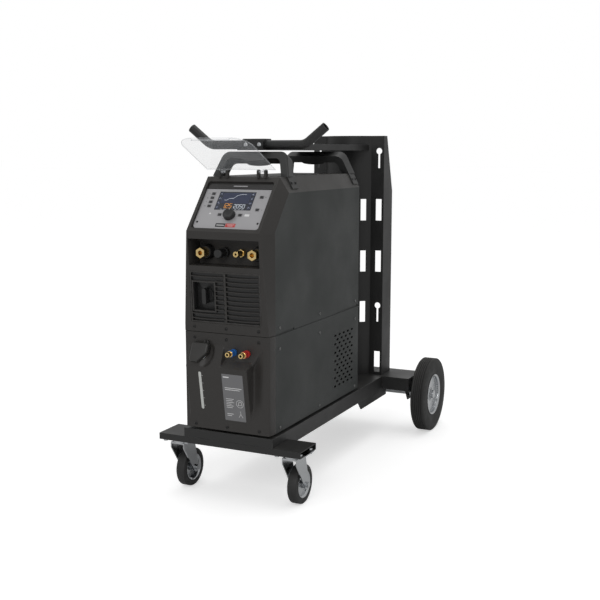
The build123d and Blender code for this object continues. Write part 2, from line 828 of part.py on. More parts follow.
def make_side_panel(side):
    """Side sheet of the source, with wider gaps at the seam front and rear."""
    outer = side * case_half
    low = seam_z + 1
    with BuildPart() as panel:
        with BuildSketch(Plane(origin=(outer, 0, 0), x_dir=(0, 1, 0), z_dir=(1, 0, 0))):
            with BuildLine():
                Polyline((case_front, low), (case_rear, low), (case_rear, band_z),
                         (facet_y(band_z) + cheek_depth, band_z), (case_front, nose_z), close=True)
            make_face()
            for y0, y1 in seam_slots():
                with Locations(((y0 + y1) / 2, low)):
                    Rectangle(y1 - y0, 8, mode=Mode.SUBTRACT)
        extrude(amount=-side * case_sheet)
        for y in side_screw_y:
            rod((outer - side * 5, y, side_screw_z[2]), (side, 0, 0), screw_r + bolt_play, 12, Mode.SUBTRACT)
    return panel.part


def seam_slots():
    return [(case_front + 4, case_front + 116), (case_rear - 172, case_rear - 6)]


def make_top_cover():
    """Roof sheet whose sides slope down to the side panels."""
    t = case_sheet
    with BuildPart() as cover:
        with BuildSketch(Plane(origin=(0, case_rear, 0), x_dir=(1, 0, 0), z_dir=(0, -1, 0))):
            with BuildLine():
                Polyline((-case_half, band_z), (-roof_half, roof_z), (roof_half, roof_z), (case_half, band_z),
                         (case_half - t, band_z), (roof_half - t, roof_z - t), (-roof_half + t, roof_z - t),
                         (-case_half + t, band_z), close=True)
            make_face()
        extrude(amount=case_l)
        # the front edge follows the slope of the control facet
        with BuildSketch(Plane(origin=(-case_half - 5, 0, 0), x_dir=(0, 1, 0), z_dir=(1, 0, 0))):
            with BuildLine():
                Polyline((facet_y(band_z - 10) + cheek_depth, band_z - 10),
                         (facet_y(roof_z + 10) + cheek_depth, roof_z + 10),
                         (front_y - 60, roof_z + 10), (front_y - 60, band_z - 10), close=True)
            make_face()
        extrude(amount=case_w + 10, mode=Mode.SUBTRACT)
        for centre, out in handle_bolt_places():
            inward = Vector(*out) * -10
            start = Vector(*centre) + inward
            rod(start, out, screw_r + bolt_play, 20, Mode.SUBTRACT)
    return cover.part


band_l = hypot(case_half - roof_half, roof_z - band_z)
band_dir = (-(case_half - roof_half) / band_l, (roof_z - band_z) / band_l)
band_out = (band_dir[1], -band_dir[0])
foot_t = 4
foot_y = (front_y + 163, case_rear - 24)


def band_point(side, along, out):
    """A point on the sloping roof band: along it from its lower edge, and out from it."""
    x = case_half + band_dir[0] * along + band_out[0] * out
    z = band_z + band_dir[1] * along + band_out[1] * out
    return side * x, z


def handle_bolt_places():
    """Heads of the handle bolts: point and outward direction."""
    places = []
    for y in foot_y:
        for side in (-1, 1):
            for dy in (-12, 12):
                x, z = band_point(side, band_l * 0.55, foot_t)
                places.append(((x, y + dy, z), (side * band_out[0], 0, band_out[1])))
    return places


def make_handle(y, lean):
    """Moulded carrying handle bolted to the roof's sloping sides."""
    tilt = atan2(handle_lean, handle_top - roof_z)
    rise = (handle_top - roof_z) / cos(tilt)
    top_half = handle_half - 20
    slope = 20 / rise
    plane = Plane(origin=(0, y, roof_z), x_dir=(1, 0, 0), z_dir=(0, -cos(tilt), lean * sin(tilt)))
    inner_rise = rise - handle_thick
    inner_half = handle_half - 24
    with BuildPart() as handle:
        with BuildSketch(plane) as arch:
            with BuildLine():
                FilletPolyline((-handle_half - 30 * slope, -30), (-top_half, rise), (top_half, rise),
                               (handle_half + 30 * slope, -30), radius=26)
                Line((handle_half + 30 * slope, -30), (-handle_half - 30 * slope, -30))
            make_face()
            with BuildLine():
                FilletPolyline((-inner_half - 30 * slope, -31), (-inner_half + inner_rise * slope, inner_rise),
                               (inner_half - inner_rise * slope, inner_rise), (inner_half + 30 * slope, -31),
                               radius=16)
                Line((inner_half + 30 * slope, -31), (-inner_half - 30 * slope, -31))
            make_face(mode=Mode.SUBTRACT)
            with Locations((0, inner_rise)):
                Ellipse(38, 7)
        extrude(amount=handle_depth / 2, both=True)
        fillet(handle.edges().filter_by(Axis.X).group_by(Axis.Z)[-1], 5)
        block((-case_half - 20, case_half + 20), (y - 120, y + 120), (roof_z - 80, roof_z), Mode.SUBTRACT)
        for side in (-1, 1):
            with BuildSketch(Plane(origin=(0, y + handle_depth / 2, 0), x_dir=(1, 0, 0), z_dir=(0, -1, 0))):
                with BuildLine():
                    Polyline(band_point(side, 10, 0), band_point(side, band_l, 0), (side * 96, roof_z),
                             (side * 96, roof_z + 7), (side * (roof_half + 1), roof_z + 7),
                             band_point(side, band_l, foot_t), band_point(side, 10, foot_t), close=True)
                make_face()
            extrude(amount=handle_depth)
        for centre, out in handle_bolt_places():
            start = Vector(*centre) + Vector(*out) * -10
            rod(start, out, screw_r + bolt_play, 20, Mode.SUBTRACT)
    return handle.part


def make_visor():
    """Clear visor that folds down over the control panel."""
    open_angle = radians(visor_open)
    # local x across, local y along the visor from its hinge
    plane = Plane(origin=(0, hinge_y, hinge_z), x_dir=(1, 0, 0), z_dir=(0, sin(open_angle), cos(open_angle)))
    gap_to_ears = 12.5
    with BuildPart() as visor:
        with BuildSketch(plane.offset(-visor_t / 2)):
            with Locations((0, -(visor_l + gap_to_ears) / 2)):
                Rectangle(2 * visor_half, visor_l - gap_to_ears)
            corners = visor_corners()
            fillet(corners, 48)
            with Locations(*[(side * hinge_x, -gap_to_ears / 2 - 1) for side in (-1, 1)]):
                Rectangle(2 * knuckle_half, gap_to_ears + 2)
        extrude(amount=visor_t)
        with BuildSketch(plane.offset(visor_t / 2)):
            with Locations((0, -visor_l + 2)):
                Rectangle(2 * visor_half - 100, 4)
        extrude(amount=-visor_t - visor_lip)
        for side in (-1, 1):
            rod((side * hinge_x - knuckle_half, hinge_y, hinge_z), (1, 0, 0), 5.5, 2 * knuckle_half)
            rod((side * hinge_x - 20, hinge_y, hinge_z), (1, 0, 0), hinge_pin_r + pin_play, 40, Mode.SUBTRACT)
    return visor.part


def visor_corners():
    """The two corners at the visor's free edge, in the active sketch."""
    return BuildSketch._get_context().vertices().group_by(Axis.Y)[0]


def make_source_chassis():
    """Base and rear sheet of the source."""
    half = case_half - case_sheet
    low = seam_z - 2
    t = case_sheet
    with BuildPart() as chassis:
        block((-half, half), (case_front + 4, case_rear), (low, low + t))
        block((-half, half), (case_front + 4, case_rear), (low, low + 28))
        block((-half + t, half - t), (case_front + 4, case_rear - t), (low + t, low + 28), Mode.SUBTRACT)
        block((-half + t, half - t), (case_front, case_front + 6), (low + t, low + 28), Mode.SUBTRACT)
        with BuildSketch(Plane(origin=(0, case_rear, 0), x_dir=(1, 0, 0), z_dir=(0, -1, 0))):
            with BuildLine():
                Polyline((-half, low), (half, low), (half, band_z), (roof_half - 2 * t, roof_z - t),
                         (-roof_half + 2 * t, roof_z - t), (-half, band_z), close=True)
            make_face()
            with Locations((0, source_fan_z)):
                Circle(fan_r + 3, mode=Mode.SUBTRACT)
            with Locations((-70, inlet_z)):
                Circle(12, mode=Mode.SUBTRACT)
            with Locations((70, inlet_z)):
                Circle(6.2, mode=Mode.SUBTRACT)
        extrude(amount=t)
        for y in side_screw_y:
            rod((-case_half, y, side_screw_z[2]), (1, 0, 0), screw_r + bolt_play, case_w, Mode.SUBTRACT)
        for x in (-half - 1, half + 1):
            for y0, y1 in seam_slots():
                block((x - 2, x + 2), (y0, y1), (low + t, seam_z + 5), Mode.SUBTRACT)
    return chassis.part


fan_r = 62
source_fan_z = 640
cooler_fan_z = 330
inlet_z = 520
frame_d = 26


def make_fan_frame(z):
    """Square fan frame with a motor hub on four arms, behind a ring guard."""
    rear = case_rear - case_sheet
    half = fan_r + 8
    with BuildPart() as frame:
        with BuildSketch(Plane(origin=(0, rear, z), x_dir=(1, 0, 0), z_dir=(0, -1, 0))):
            RectangleRounded(2 * half, 2 * half, 8)
            Circle(fan_r + 2, mode=Mode.SUBTRACT)
        extrude(amount=frame_d)
        with BuildSketch(Plane(origin=(0, rear, z), x_dir=(1, 0, 0), z_dir=(0, -1, 0))):
            with PolarLocations(0, 2):
                Rectangle(2 * fan_r + 6, 8)
            Rectangle(8, 2 * fan_r + 6)
            Circle(20)
            for radius in (34, 48):
                Circle(radius)
                Circle(radius - 3, mode=Mode.SUBTRACT)
                Circle(20)
                Rectangle(2 * fan_r + 6, 8)
                Rectangle(8, 2 * fan_r + 6)
        extrude(amount=3)
        rod((0, rear - 3, z), (0, -1, 0), 4, 15)
    return frame.part


def make_fan(z):
    """Fan rotor: a hub and seven raked blades."""
    rear = case_rear - case_sheet
    start = rear - 3 - 2
    with BuildPart() as rotor:
        rod((0, start, z), (0, -1, 0), 20, 16)
        with BuildSketch(Plane(origin=(0, start - 3, z), x_dir=(1, 0, 0), z_dir=(0, -1, 0))):
            with PolarLocations((fan_r + 14) / 2, 7):
                Rectangle(fan_r - 16, 3)
        extrude(amount=10)
        rod((0, start + 1, z), (0, -1, 0), 4 + pin_play, 15 + 1, Mode.SUBTRACT)
    return rotor.part


def make_heat_sink():
    """Finned block that carries the power modules."""
    low = seam_z - 2 + case_sheet
    y0 = case_front + 230
    with BuildPart() as sink:
        block((-60, 60), (y0, y0 + 180), (low, low + 12))
        for i in range(9):
            x = -56 + 14 * i
            block((x - 1.5, x + 1.5), (y0, y0 + 180), (low + 12, low + 90))
    return sink.part


def make_transformer():
    """Main transformer: a laminated core round a winding."""
    low = seam_z - 2 + case_sheet
    y0 = case_front + 110
    with BuildPart() as core:
        block((-55, 55), (y0, y0 + 46), (low, low + 96))
        block((-37, -15), (y0 - 1, y0 + 47), (low + 16, low + 80), Mode.SUBTRACT)
        block((15, 37), (y0 - 1, y0 + 47), (low + 16, low + 80), Mode.SUBTRACT)
    with BuildPart() as winding:
        block((-34, 34), (y0 - 18, y0 + 64), (low + 19, low + 77))
        block((-15 - play, 15 + play), (y0 - play, y0 + 46 + play), (low + 10, low + 90), Mode.SUBTRACT)
    return core.part, winding.part


def make_board():
    """Control board behind the panel tray."""
    with BuildPart() as board:
        with BuildSketch(facet.offset(tray_floor - 4 - 2)):
            with Locations((0, (panel_s0 + facet_l - 16) / 2)):
                Rectangle(panel_w - 30, 120)
        extrude(amount=1.6)
        with BuildSketch(facet.offset(tray_floor - 4 - 2)):
            with Locations(*[(x, s) for x in (-70, -35, 35, 70) for s in (40, 125)]):
                Rectangle(22, 14)
        extrude(amount=-8)
        with BuildSketch(facet.offset(tray_floor - 4 - 2 + 1.6)):
            with Locations(*[(x, s) for x in (-84, 84) for s in (40, 140)]):
                Circle(3)
        extrude(amount=2 - 1.6)
    return board.part


def make_control_panel():
    """Bright front plate of the controls, rounded at its lower corners."""
    with BuildPart() as panel:
        with BuildSketch(facet.offset(tray_floor)):
            with Locations((0, panel_s0 + panel_h / 2)):
                Rectangle(panel_w, panel_h)
            lower = BuildSketch._get_context().vertices().group_by(Axis.Y)[0]
            fillet(lower, 14)
            with Locations((0, screen_s)):
                Rectangle(screen_size[0] + 2 * play, screen_size[1] + 2 * play, mode=Mode.SUBTRACT)
            with Locations((0, knob_s)):
                Circle(3 + pin_play, mode=Mode.SUBTRACT)
            with Locations(*button_places()):
                Rectangle(button_size[0] + 2 * play, button_size[1] + 2 * play, mode=Mode.SUBTRACT)
            with Locations((-panel_screw_x, panel_screw_s), (panel_screw_x, panel_screw_s)):
                Circle(1.5 + bolt_play, mode=Mode.SUBTRACT)
        extrude(amount=panel_t)
    return panel.part


panel_screw_x = 93
panel_screw_s = 35


def make_screen():
    """Display window, seated in the panel."""
    with BuildPart() as screen:
        with BuildSketch(facet.offset(tray_floor)):
            with Locations((0, screen_s)):
                Rectangle(*screen_size)
        extrude(amount=panel_t + 0.4)
    return screen.part


def make_knob():
    """Encoder knob on its shaft."""
    top = tray_floor + panel_t
    with BuildPart() as knob:
        with BuildSketch(facet.offset(top + play)):
            with Locations((0, knob_s)):
                Circle(knob_r)
        extrude(amount=knob_l, taper=3)
        fillet(knob.faces().sort_by(facet_axis)[-1].edges(), 1.5)
        with BuildSketch(facet.offset(top + play)):
            with Locations((0, knob_s)):
                Circle(3)
        extrude(amount=-panel_t - play - 3.5)
    return knob.part


facet_axis = Axis((0, nose_y, nose_z), facet.z_dir)


def make_button(place):
    """One panel button: a cap in the panel and a stem guided in the moulding behind it."""
    cap_base = tray_floor + button_travel + guide_play
    cap_top = tray_floor + panel_t + 1.6
    with BuildPart() as button:
        with BuildSketch(facet.offset(cap_base)):
            with Locations(place):
                Rectangle(*button_size)
        extrude(amount=cap_top - cap_base)
        with BuildSketch(facet.offset(cap_base)):
            with Locations(place):
                Rectangle(*stem_size)
        extrude(amount=-stem_l)
    return button.part


def facet_point(x, s, out):
    """A point given across the facet, up it and out of it."""
    v = facet.origin + facet.x_dir * x + facet.y_dir * s + facet.z_dir * out
    return tuple(v)


def make_sockets():
    """Black bodies: two power outlets, the capped control socket, and the mains gland at the rear."""
    back = front_y + recess_back
    bodies = []
    for x in (-power_x, power_x):
        bodies.append(turned((x, back - play, socket_z), (0, -1, 0), [
            (-fascia_wall - 12, dinse_bore_r + 3), (22, dinse_bore_r + 3), (22, 17), (18, 19), (0, 20.5),
            (0, 14.5), (-fascia_wall - 12, 14.5)]))
    bodies.append(turned((-signal_x, back - play, socket_z), (0, -1, 0), [
        (-16, 0), (-16, 8.5), (0, 8.5), (0, 14), (12, 14), (12, 11.5), (28, 11.5), (28, 12.5), (43, 12.5),
        (45, 11), (45, 0)]))
    bodies.append(turned((-70, case_rear, inlet_z), (0, 1, 0), [
        (-10, 5), (30, 5), (30, 8), (18, 12), (18, 16), (0, 16), (0, 11.8), (-10, 11.8)]))
    return bodies


def make_brass():
    """Brass fittings: outlet inserts, gas outlet and inlet, and the coolant nipples."""
    back = front_y + recess_back
    fittings = []
    for x in (-power_x, power_x):
        with BuildPart() as insert:
            rod((x, back + fascia_wall + 10, socket_z), (0, -1, 0), dinse_bore_r + 2.8, fascia_wall + 10 + 24)
            with BuildSketch(Plane(origin=(x, back - 22 - 2 * play, socket_z), z_dir=(0, -1, 0))):
                RegularPolygon(13, 6, major_radius=False)
            extrude(amount=26)
            rod((x, back - 60, socket_z), (0, 1, 0), dinse_bore_r, 32 + 12, Mode.SUBTRACT)
        fittings.append(insert.part)
    with BuildPart() as outlet:
        with BuildSketch(Plane(origin=(signal_x, back - play, socket_z), z_dir=(0, -1, 0))):
            RegularPolygon(10, 6, major_radius=False)
        extrude(amount=12)
        rod((signal_x, back + 14, socket_z), (0, -1, 0), 5.8, 16)
        rod((signal_x, back - 12, socket_z), (0, -1, 0), 8, 30)
        rod((signal_x, back - 60, socket_z), (0, 1, 0), gas_bore_r, 60, Mode.SUBTRACT)
    fittings.append(outlet.part)
    fittings.append(turned((70, case_rear, inlet_z), (0, 1, 0), [
        (-12, 3), (24, 3), (24, 6), (12, 6), (12, 9), (0, 9), (0, 6), (-12, 6)]))
    wall = front_y
    for x in coupler_x:
        fittings.append(turned((x, wall, coupler_z), (0, -1, 0), [
            (-14, nipple_bore_r), (42, nipple_bore_r), (42, 6.4), (40, 7), (28, 7), (28, 8.6), (25.5, 8.6),
            (25.5, coupler_r - 3.5), (0, coupler_r - 3.5), (-14, coupler_r - 3.5)]))
    return fittings


gas_bore_r = 3
nipple_bore_r = 3.5


def make_coupler_sleeve(x):
    """Spring sleeve of a coolant coupling."""
    wall = front_y
    bore = coupler_r - 3.5 + pin_play
    return turned((x, wall, coupler_z), (0, -1, 0), [
        (3.4, bore), (25.2, bore), (25.2, coupler_r - 0.8), (20, coupler_r), (16, coupler_r),
        (15, coupler_r - 1), (12, coupler_r - 1), (11, coupler_r), (3.4, coupler_r)])


# ---------------------------------------------------------------- cooler

shelf_out = Vector(0, -(shelf_z - bulge_z[1]), bulge_reach).normalized()
cap_seat = Vector(cap_x, front_y - bulge_reach * (shelf_z - cap_z) / (shelf_z - bulge_z[1]), cap_z)
cap_h = 15


def cooler_form(wall):
    """Plan section of the cooler's front, drawn in by a wall thickness."""
    half = case_half - wall
    points = [(-half, case_front), (-cheek_half + wall, front_y + wall), (cheek_half - wall, front_y + wall),
              (half, case_front)]
    if wall:
        points += [(half, case_front + 20), (-half, case_front + 20)]
    return points


def bulge_outline(wall):
    """Side outline of the forward bulge."""
    return [(front_y + 8, bulge_z[0] + wall), (front_y + wall, bulge_z[0] + wall),
            (front_y - bulge_reach + 1.2 * wall, bulge_z[1]), (front_y + wall, shelf_z - 1.5 * wall),
            (front_y + 8, shelf_z - 1.5 * wall)]


def pocket_rim():
    """Floor, sides and back of the coupling pocket, inside the bulge's outer form."""
    low_x = pocket_x[0] - fascia_wall
    high_x = pocket_x[1] + fascia_wall
    with BuildPart() as rim:
        with BuildSketch(Plane(origin=(low_x, 0, 0), x_dir=(0, 1, 0), z_dir=(1, 0, 0))):
            with BuildLine():
                Polyline(*bulge_outline(0), close=True)
            make_face()
        extrude(amount=high_x - low_x)
        block((low_x - 1, high_x + 1), (front_y - 60, front_y + fascia_wall),
              (pocket_low - fascia_wall, shelf_z + 1), Mode.INTERSECT)
    return rim.part


def make_cooler_fascia():
    """Moulded front of the cooler, with a bulge, a coupling pocket and a sight slot."""
    wall = fascia_wall
    top = seam_z - 3
    with BuildPart() as shell:
        with BuildSketch(Plane.XY.offset(case_bottom)):
            with BuildLine():
                Polyline(*cooler_form(0), close=True)
            make_face()
        extrude(amount=top - case_bottom)
        with BuildSketch(Plane(origin=(bulge_x[0], 0, 0), x_dir=(0, 1, 0), z_dir=(1, 0, 0))):
            with BuildLine():
                Polyline(*bulge_outline(0), close=True)
            make_face()
        extrude(amount=bulge_x[1] - bulge_x[0])
        with BuildSketch(Plane.XY.offset(case_bottom - 1)):
            with BuildLine():
                Polyline(*cooler_form(wall), close=True)
            make_face()
        extrude(amount=top - case_bottom + 2, mode=Mode.SUBTRACT)
        with BuildSketch(Plane(origin=(bulge_x[0] + wall, 0, 0), x_dir=(0, 1, 0), z_dir=(1, 0, 0))):
            with BuildLine():
                Polyline(*bulge_outline(wall), close=True)
            make_face()
        extrude(amount=bulge_x[1] - bulge_x[0] - 2 * wall, mode=Mode.SUBTRACT)
        # pocket for the couplings
        add(pocket_rim())
        block((pocket_x[0], pocket_x[1]), (front_y - 60, front_y), (pocket_low, shelf_z + 3), Mode.SUBTRACT)
        for x in coupler_x:
            rod((x, front_y - 10, coupler_z), (0, 1, 0), coupler_r - 3.5 + bolt_play, 30, Mode.SUBTRACT)
        rod((cap_seat - shelf_out * 20), shelf_out, neck_r + bolt_play, 30, Mode.SUBTRACT)
        level_plane = Plane(origin=(level_x, front_y - 60, sum(level_z) / 2), x_dir=(1, 0, 0), z_dir=(0, -1, 0))
        with BuildSketch(level_plane):
            SlotOverall(level_z[1] - level_z[0], level_w, rotation=90)
        extrude(amount=-75, mode=Mode.SUBTRACT)
        for x in (-screw_x, 0, screw_x):
            for z in front_screw_z[:2]:
                rod((x, front_y - 5, z), (0, 1, 0), screw_r + bolt_play, 12, Mode.SUBTRACT)
    return shell.part


neck_r = 22
vent_centre = (case_rear - 118, 331)
vent_pitch = (33, 26.6)
vent_slot = (16, 6.5)


def make_cooler_cover():
    """Cooler's sides and top in one folded sheet, vented at the rear of each side."""
    top = seam_z - 2
    with BuildPart() as cover:
        block((-case_half, case_half), (case_front, case_rear), (case_bottom, top))
        block((-case_half + case_sheet, case_half - case_sheet), (case_front - 1, case_rear + 1),
              (case_bottom - 1, top - case_sheet), Mode.SUBTRACT)
        vent_plane = Plane(origin=(-case_half - 1, *vent_centre), x_dir=(0, 1, 0), z_dir=(1, 0, 0))
        with BuildSketch(vent_plane):
            with GridLocations(*vent_pitch, 5, 7):
                SlotOverall(*vent_slot)
            with GridLocations(*vent_pitch, 4, 6):
                SlotOverall(*vent_slot)
        extrude(amount=case_w + 2, mode=Mode.SUBTRACT)
        for y in side_screw_y:
            for z in side_screw_z[:2]:
                rod((-case_half - 1, y, z), (1, 0, 0), screw_r + bolt_play, case_w + 2, Mode.SUBTRACT)
    return cover.part


def make_cooler_chassis():
    """Base and rear sheet of the cooler, standing on four pressed feet."""
    t = case_sheet
    half = case_half - t
    top = seam_z - 2 - t
    with BuildPart() as chassis:
        block((-half, half), (case_front + 4, case_rear), (case_bottom, case_bottom + 24))
        block((-half + t, half - t), (case_front, case_rear - t), (case_bottom + t, case_bottom + 30),
              Mode.SUBTRACT)
        with BuildSketch(Plane(origin=(0, case_rear, 0), x_dir=(1, 0, 0), z_dir=(0, -1, 0))):
            with Locations((0, (case_bottom + top) / 2)):
                Rectangle(2 * half, top - case_bottom)
            with Locations((0, cooler_fan_z)):
                Circle(fan_r + 3, mode=Mode.SUBTRACT)
        extrude(amount=t)
        for x in (-100, 100):
            for y in (case_front + 60, case_rear - 60):
                rod((x, y, deck_top), (0, 0, 1), 16, foot_h)
        for y in side_screw_y:
            rod((-case_half, y, side_screw_z[0]), (1, 0, 0), screw_r + bolt_play, case_w, Mode.SUBTRACT)
    return chassis.part


def make_tank():
    """Coolant tank with its filler neck and the clear rib that fills the sight slot."""
    low = case_bottom + case_sheet
    front = front_y + 12
    with BuildPart() as tank:
        block((-118, -38), (front, front + 150), (low, 400))
        block((-114, -42), (front + 4, front + 146), (low + 4, 396), Mode.SUBTRACT)
        rod((cap_seat - shelf_out * 40), shelf_out, neck_r, 40 + 5)
        block((-118, -38), (front_y + 12, front + 60), (380, 400))
        rod((cap_seat - shelf_out * 34), shelf_out, neck_r - 4, 60, Mode.SUBTRACT)
        with BuildSketch(Plane(origin=(level_x, 0, 0), x_dir=(0, 1, 0), z_dir=(1, 0, 0))):
            with BuildLine():
                z0, z1 = level_z[0] + level_w / 2, level_z[1] - level_w / 2
                Polyline((front + 1, z0), (rib_y(z0), z0), (rib_y(z1), z1), (front + 1, z1), close=True)
            make_face()
        extrude(amount=level_w / 2 - bolt_play, both=True)
    return tank.part


def rib_y(z):
    """Y of the sight rib's face, just inside the bulge's slope."""
    return front_y - bulge_reach * (z - bulge_z[0]) / (bulge_z[1] - bulge_z[0]) + 0.6


def make_cap():
    """Ribbed filler cap."""
    seat = (cap_seat + shelf_out * play)
    out = shelf_out
    with BuildPart() as cap:
        with BuildSketch(Plane(origin=seat, x_dir=(1, 0, 0), z_dir=out)):
            Circle(cap_r)
            with PolarLocations(cap_r, 24):
                Circle(1.4, mode=Mode.SUBTRACT)
            Circle(neck_r + play, mode=Mode.SUBTRACT)
        extrude(amount=cap_h)
        with BuildSketch(Plane(origin=seat, x_dir=(1, 0, 0), z_dir=out).offset(5 + play)):
            Circle(neck_r + play + 1)
        extrude(amount=cap_h - 5 - play)
    return cap.part


def make_pump():
    """Coolant pump: a motor on a foot with a pump head."""
    low = case_bottom + case_sheet
    y = case_front + 260
    with BuildPart() as pump:
        block((10, 90), (y - 55, y + 55), (low, low + 6))
        block((40, 60), (y - 30, y + 30), (low + 5, low + 30))
        rod((50, y - 70, low + 62), (0, 1, 0), 38, 140)
        rod((50, y - 95, low + 62), (0, 1, 0), 30, 26)
        rod((50, y - 84, low + 62), (0, 0, 1), 7, 60)
    return pump.part


def make_radiator():
    """Radiator core between two tanks, in front of the cooler's fan."""
    rear = case_rear - case_sheet - frame_d - play
    low = case_bottom + case_sheet
    top = cooler_fan_z + 75
    with BuildPart() as core:
        block((-90, 90), (rear - 44, rear), (low, low + 20))
        block((-90, 90), (rear - 44, rear), (top, top + 20))
        for i in range(19):
            x = -81 + 9 * i
            block((x - 1, x + 1), (rear - 40, rear - 4), (low + 19, top + 1))
        for i in range(12):
            z = low + 30 + i * (top - low - 30) / 12
            block((-88, 88), (rear - 36, rear - 8), (z, z + 1))
    return core.part


def make_screws():
    """Case, panel, hinge and handle fasteners."""
    screws = []
    for side in (-1, 1):
        for y in side_screw_y:
            for z in side_screw_z:
                screws.append(screw((side * case_half, y, z), (side, 0, 0)))
    for x in (-screw_x, 0, screw_x):
        for z in front_screw_z:
            screws.append(screw((x, front_y, z), (0, -1, 0)))
    for centre, out in handle_bolt_places():
        screws.append(screw(centre, out, shank_l=8))
    for side in (-1, 1):
        place = facet_point(side * panel_screw_x, panel_screw_s, tray_floor + panel_t)
        screws.append(screw(place, facet.z_dir, head_r=3, head_h=1.6, shank_r=1.5, shank_l=panel_t - 0.2))
        screws.append(turned((side * hinge_x, hinge_y, hinge_z), (1, 0, 0), [
            (-17, 0), (-17, hinge_pin_r), (17, hinge_pin_r), (17, 0)]))
    return screws


def make_machine():
    keep("source_fascia", make_source_fascia())
    keep("front_grille", make_grille())
    keep("switch_housing", make_switch_plate())
    keep("switch_handle", make_switch_handle())
    keep("control_panel", make_control_panel())
    keep("display_screen", make_screen())
    keep("encoder_knob", make_knob())
    for place, name in zip(button_places(), button_names):
        keep("button_" + name, make_button(place))
    keep("black_sockets", *make_sockets())
    keep("brass_fittings", *make_brass())
    keep("side_panels", make_side_panel(-1), make_side_panel(1))
    keep("top_cover", make_top_cover())
    keep("source_chassis", make_source_chassis())
    keep("front_handle", make_handle(foot_y[0], 1))
    keep("rear_handle", make_handle(foot_y[1], -1))
    keep("visor", make_visor())
    keep("fan_frames", make_fan_frame(source_fan_z), make_fan_frame(cooler_fan_z))
    keep("source_fan", make_fan(source_fan_z))
    keep("cooler_fan", make_fan(cooler_fan_z))
    keep("heat_sink", make_heat_sink())
    keep("power_transformer", *make_transformer())
    keep("control_board", make_board())
    keep("cooler_fascia", make_cooler_fascia())
    keep("cooler_cover", make_cooler_cover())
    keep("cooler_chassis", make_cooler_chassis())
    keep("coolant_tank", make_tank())
    keep("filler_cap", make_cap())
    keep("coolant_pump", make_pump())
    keep("radiator", make_radiator())
    keep("coupler_sleeve_blue", make_coupler_sleeve(coupler_x[0]))
    keep("coupler_sleeve_red", make_coupler_sleeve(coupler_x[1]))
    keep("case_screws", *make_screws())


button_names = ("left_1", "left_2", "left_3", "left_4", "right_1", "right_2", "knob_left", "knob_right")

make_trolley()
make_machine()
print(len(parts_made), "nodes")
print("castor swivel y", front_y + castor_plate_y, "wheel y", wheel_y)
print("hinge", hinge_y, hinge_z, "front y", front_y, "facet normal", facet.z_dir)
print("knob", facet_point(0, knob_s, 0), "switch normal", brow.z_dir)
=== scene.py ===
import json
import math

import bmesh
import bpy
from mathutils import Matrix, Vector


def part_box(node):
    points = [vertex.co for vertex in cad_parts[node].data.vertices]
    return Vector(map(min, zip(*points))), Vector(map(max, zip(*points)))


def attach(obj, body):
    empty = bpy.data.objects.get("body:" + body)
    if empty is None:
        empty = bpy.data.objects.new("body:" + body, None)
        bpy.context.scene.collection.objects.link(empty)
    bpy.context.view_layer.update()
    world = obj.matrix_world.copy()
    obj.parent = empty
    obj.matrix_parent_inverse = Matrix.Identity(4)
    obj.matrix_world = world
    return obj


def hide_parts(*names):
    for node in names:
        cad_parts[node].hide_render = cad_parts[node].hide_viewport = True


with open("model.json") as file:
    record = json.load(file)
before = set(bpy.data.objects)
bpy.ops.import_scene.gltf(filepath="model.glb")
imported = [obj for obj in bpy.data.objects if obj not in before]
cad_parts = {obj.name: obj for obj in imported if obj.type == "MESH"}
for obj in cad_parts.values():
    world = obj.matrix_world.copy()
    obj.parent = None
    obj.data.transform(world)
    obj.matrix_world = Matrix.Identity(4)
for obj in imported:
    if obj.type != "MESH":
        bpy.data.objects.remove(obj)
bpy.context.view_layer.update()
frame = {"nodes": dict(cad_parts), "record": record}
nodes = frame["nodes"]
bodyOf = {}
for bodyName, members in frame["record"]["behaviour"]["bodies"].items():
    for member in members:
        bodyOf[member] = bodyName
mm = 0.001
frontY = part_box("tray")[0].y / mm    # the deck's front edge
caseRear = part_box("side_panels")[1].y / mm
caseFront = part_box("side_panels")[0].y / mm


def slopeMatrix(originY, originZ, up):
    # millimetres across, up a sloping face and out of it, turned into metres
    upward = Vector((0, up[0], up[1])).normalized()
    across = Vector((1, 0, 0))
    outward = across.cross(upward)
    rows = Matrix((across * mm, upward * mm, outward * mm)).transposed().to_4x4()
    return Matrix.Translation(Vector((0, originY, originZ)) * mm) @ rows


facetSlope = {"angle": 50.3, "noseReach": 15.5, "noseZ": 759, "shoulderZ": 502, "floor": -8, "plateTop": -6}
coolerSlope = {"low": 232, "ridge": 388, "shelf": 446, "reach": 24}
facetAngle = math.radians(facetSlope["angle"])
facetPlace = slopeMatrix(frontY - facetSlope["noseReach"], facetSlope["noseZ"],
                         (math.cos(facetAngle), math.sin(facetAngle)))
browPlace = slopeMatrix(frontY, facetSlope["shoulderZ"],
                        (-facetSlope["noseReach"], facetSlope["noseZ"] - facetSlope["shoulderZ"]))
labelPlace = slopeMatrix(frontY, coolerSlope["low"],
                         (-coolerSlope["reach"], coolerSlope["ridge"] - coolerSlope["low"]))
shelfPlace = slopeMatrix(frontY - coolerSlope["reach"], coolerSlope["ridge"],
                         (coolerSlope["reach"], coolerSlope["shelf"] - coolerSlope["ridge"]))
print("anchors read")


# shader groups shared by the finishes

groupEnds = {"start": "NodeGroupInput", "end": "NodeGroupOutput"}
timesNode = ("ShaderNodeMath", {"operation": "MULTIPLY"})
minusNode = ("ShaderNodeMath", {"operation": "MULTIPLY", 1: -1.0})
maskParts = {**groupEnds, "both": timesNode, "scaled": timesNode}
maskLinks = """
    both.0 > scaled.0
    start.Amount > scaled.1
    scaled.0 > end.Mask"""


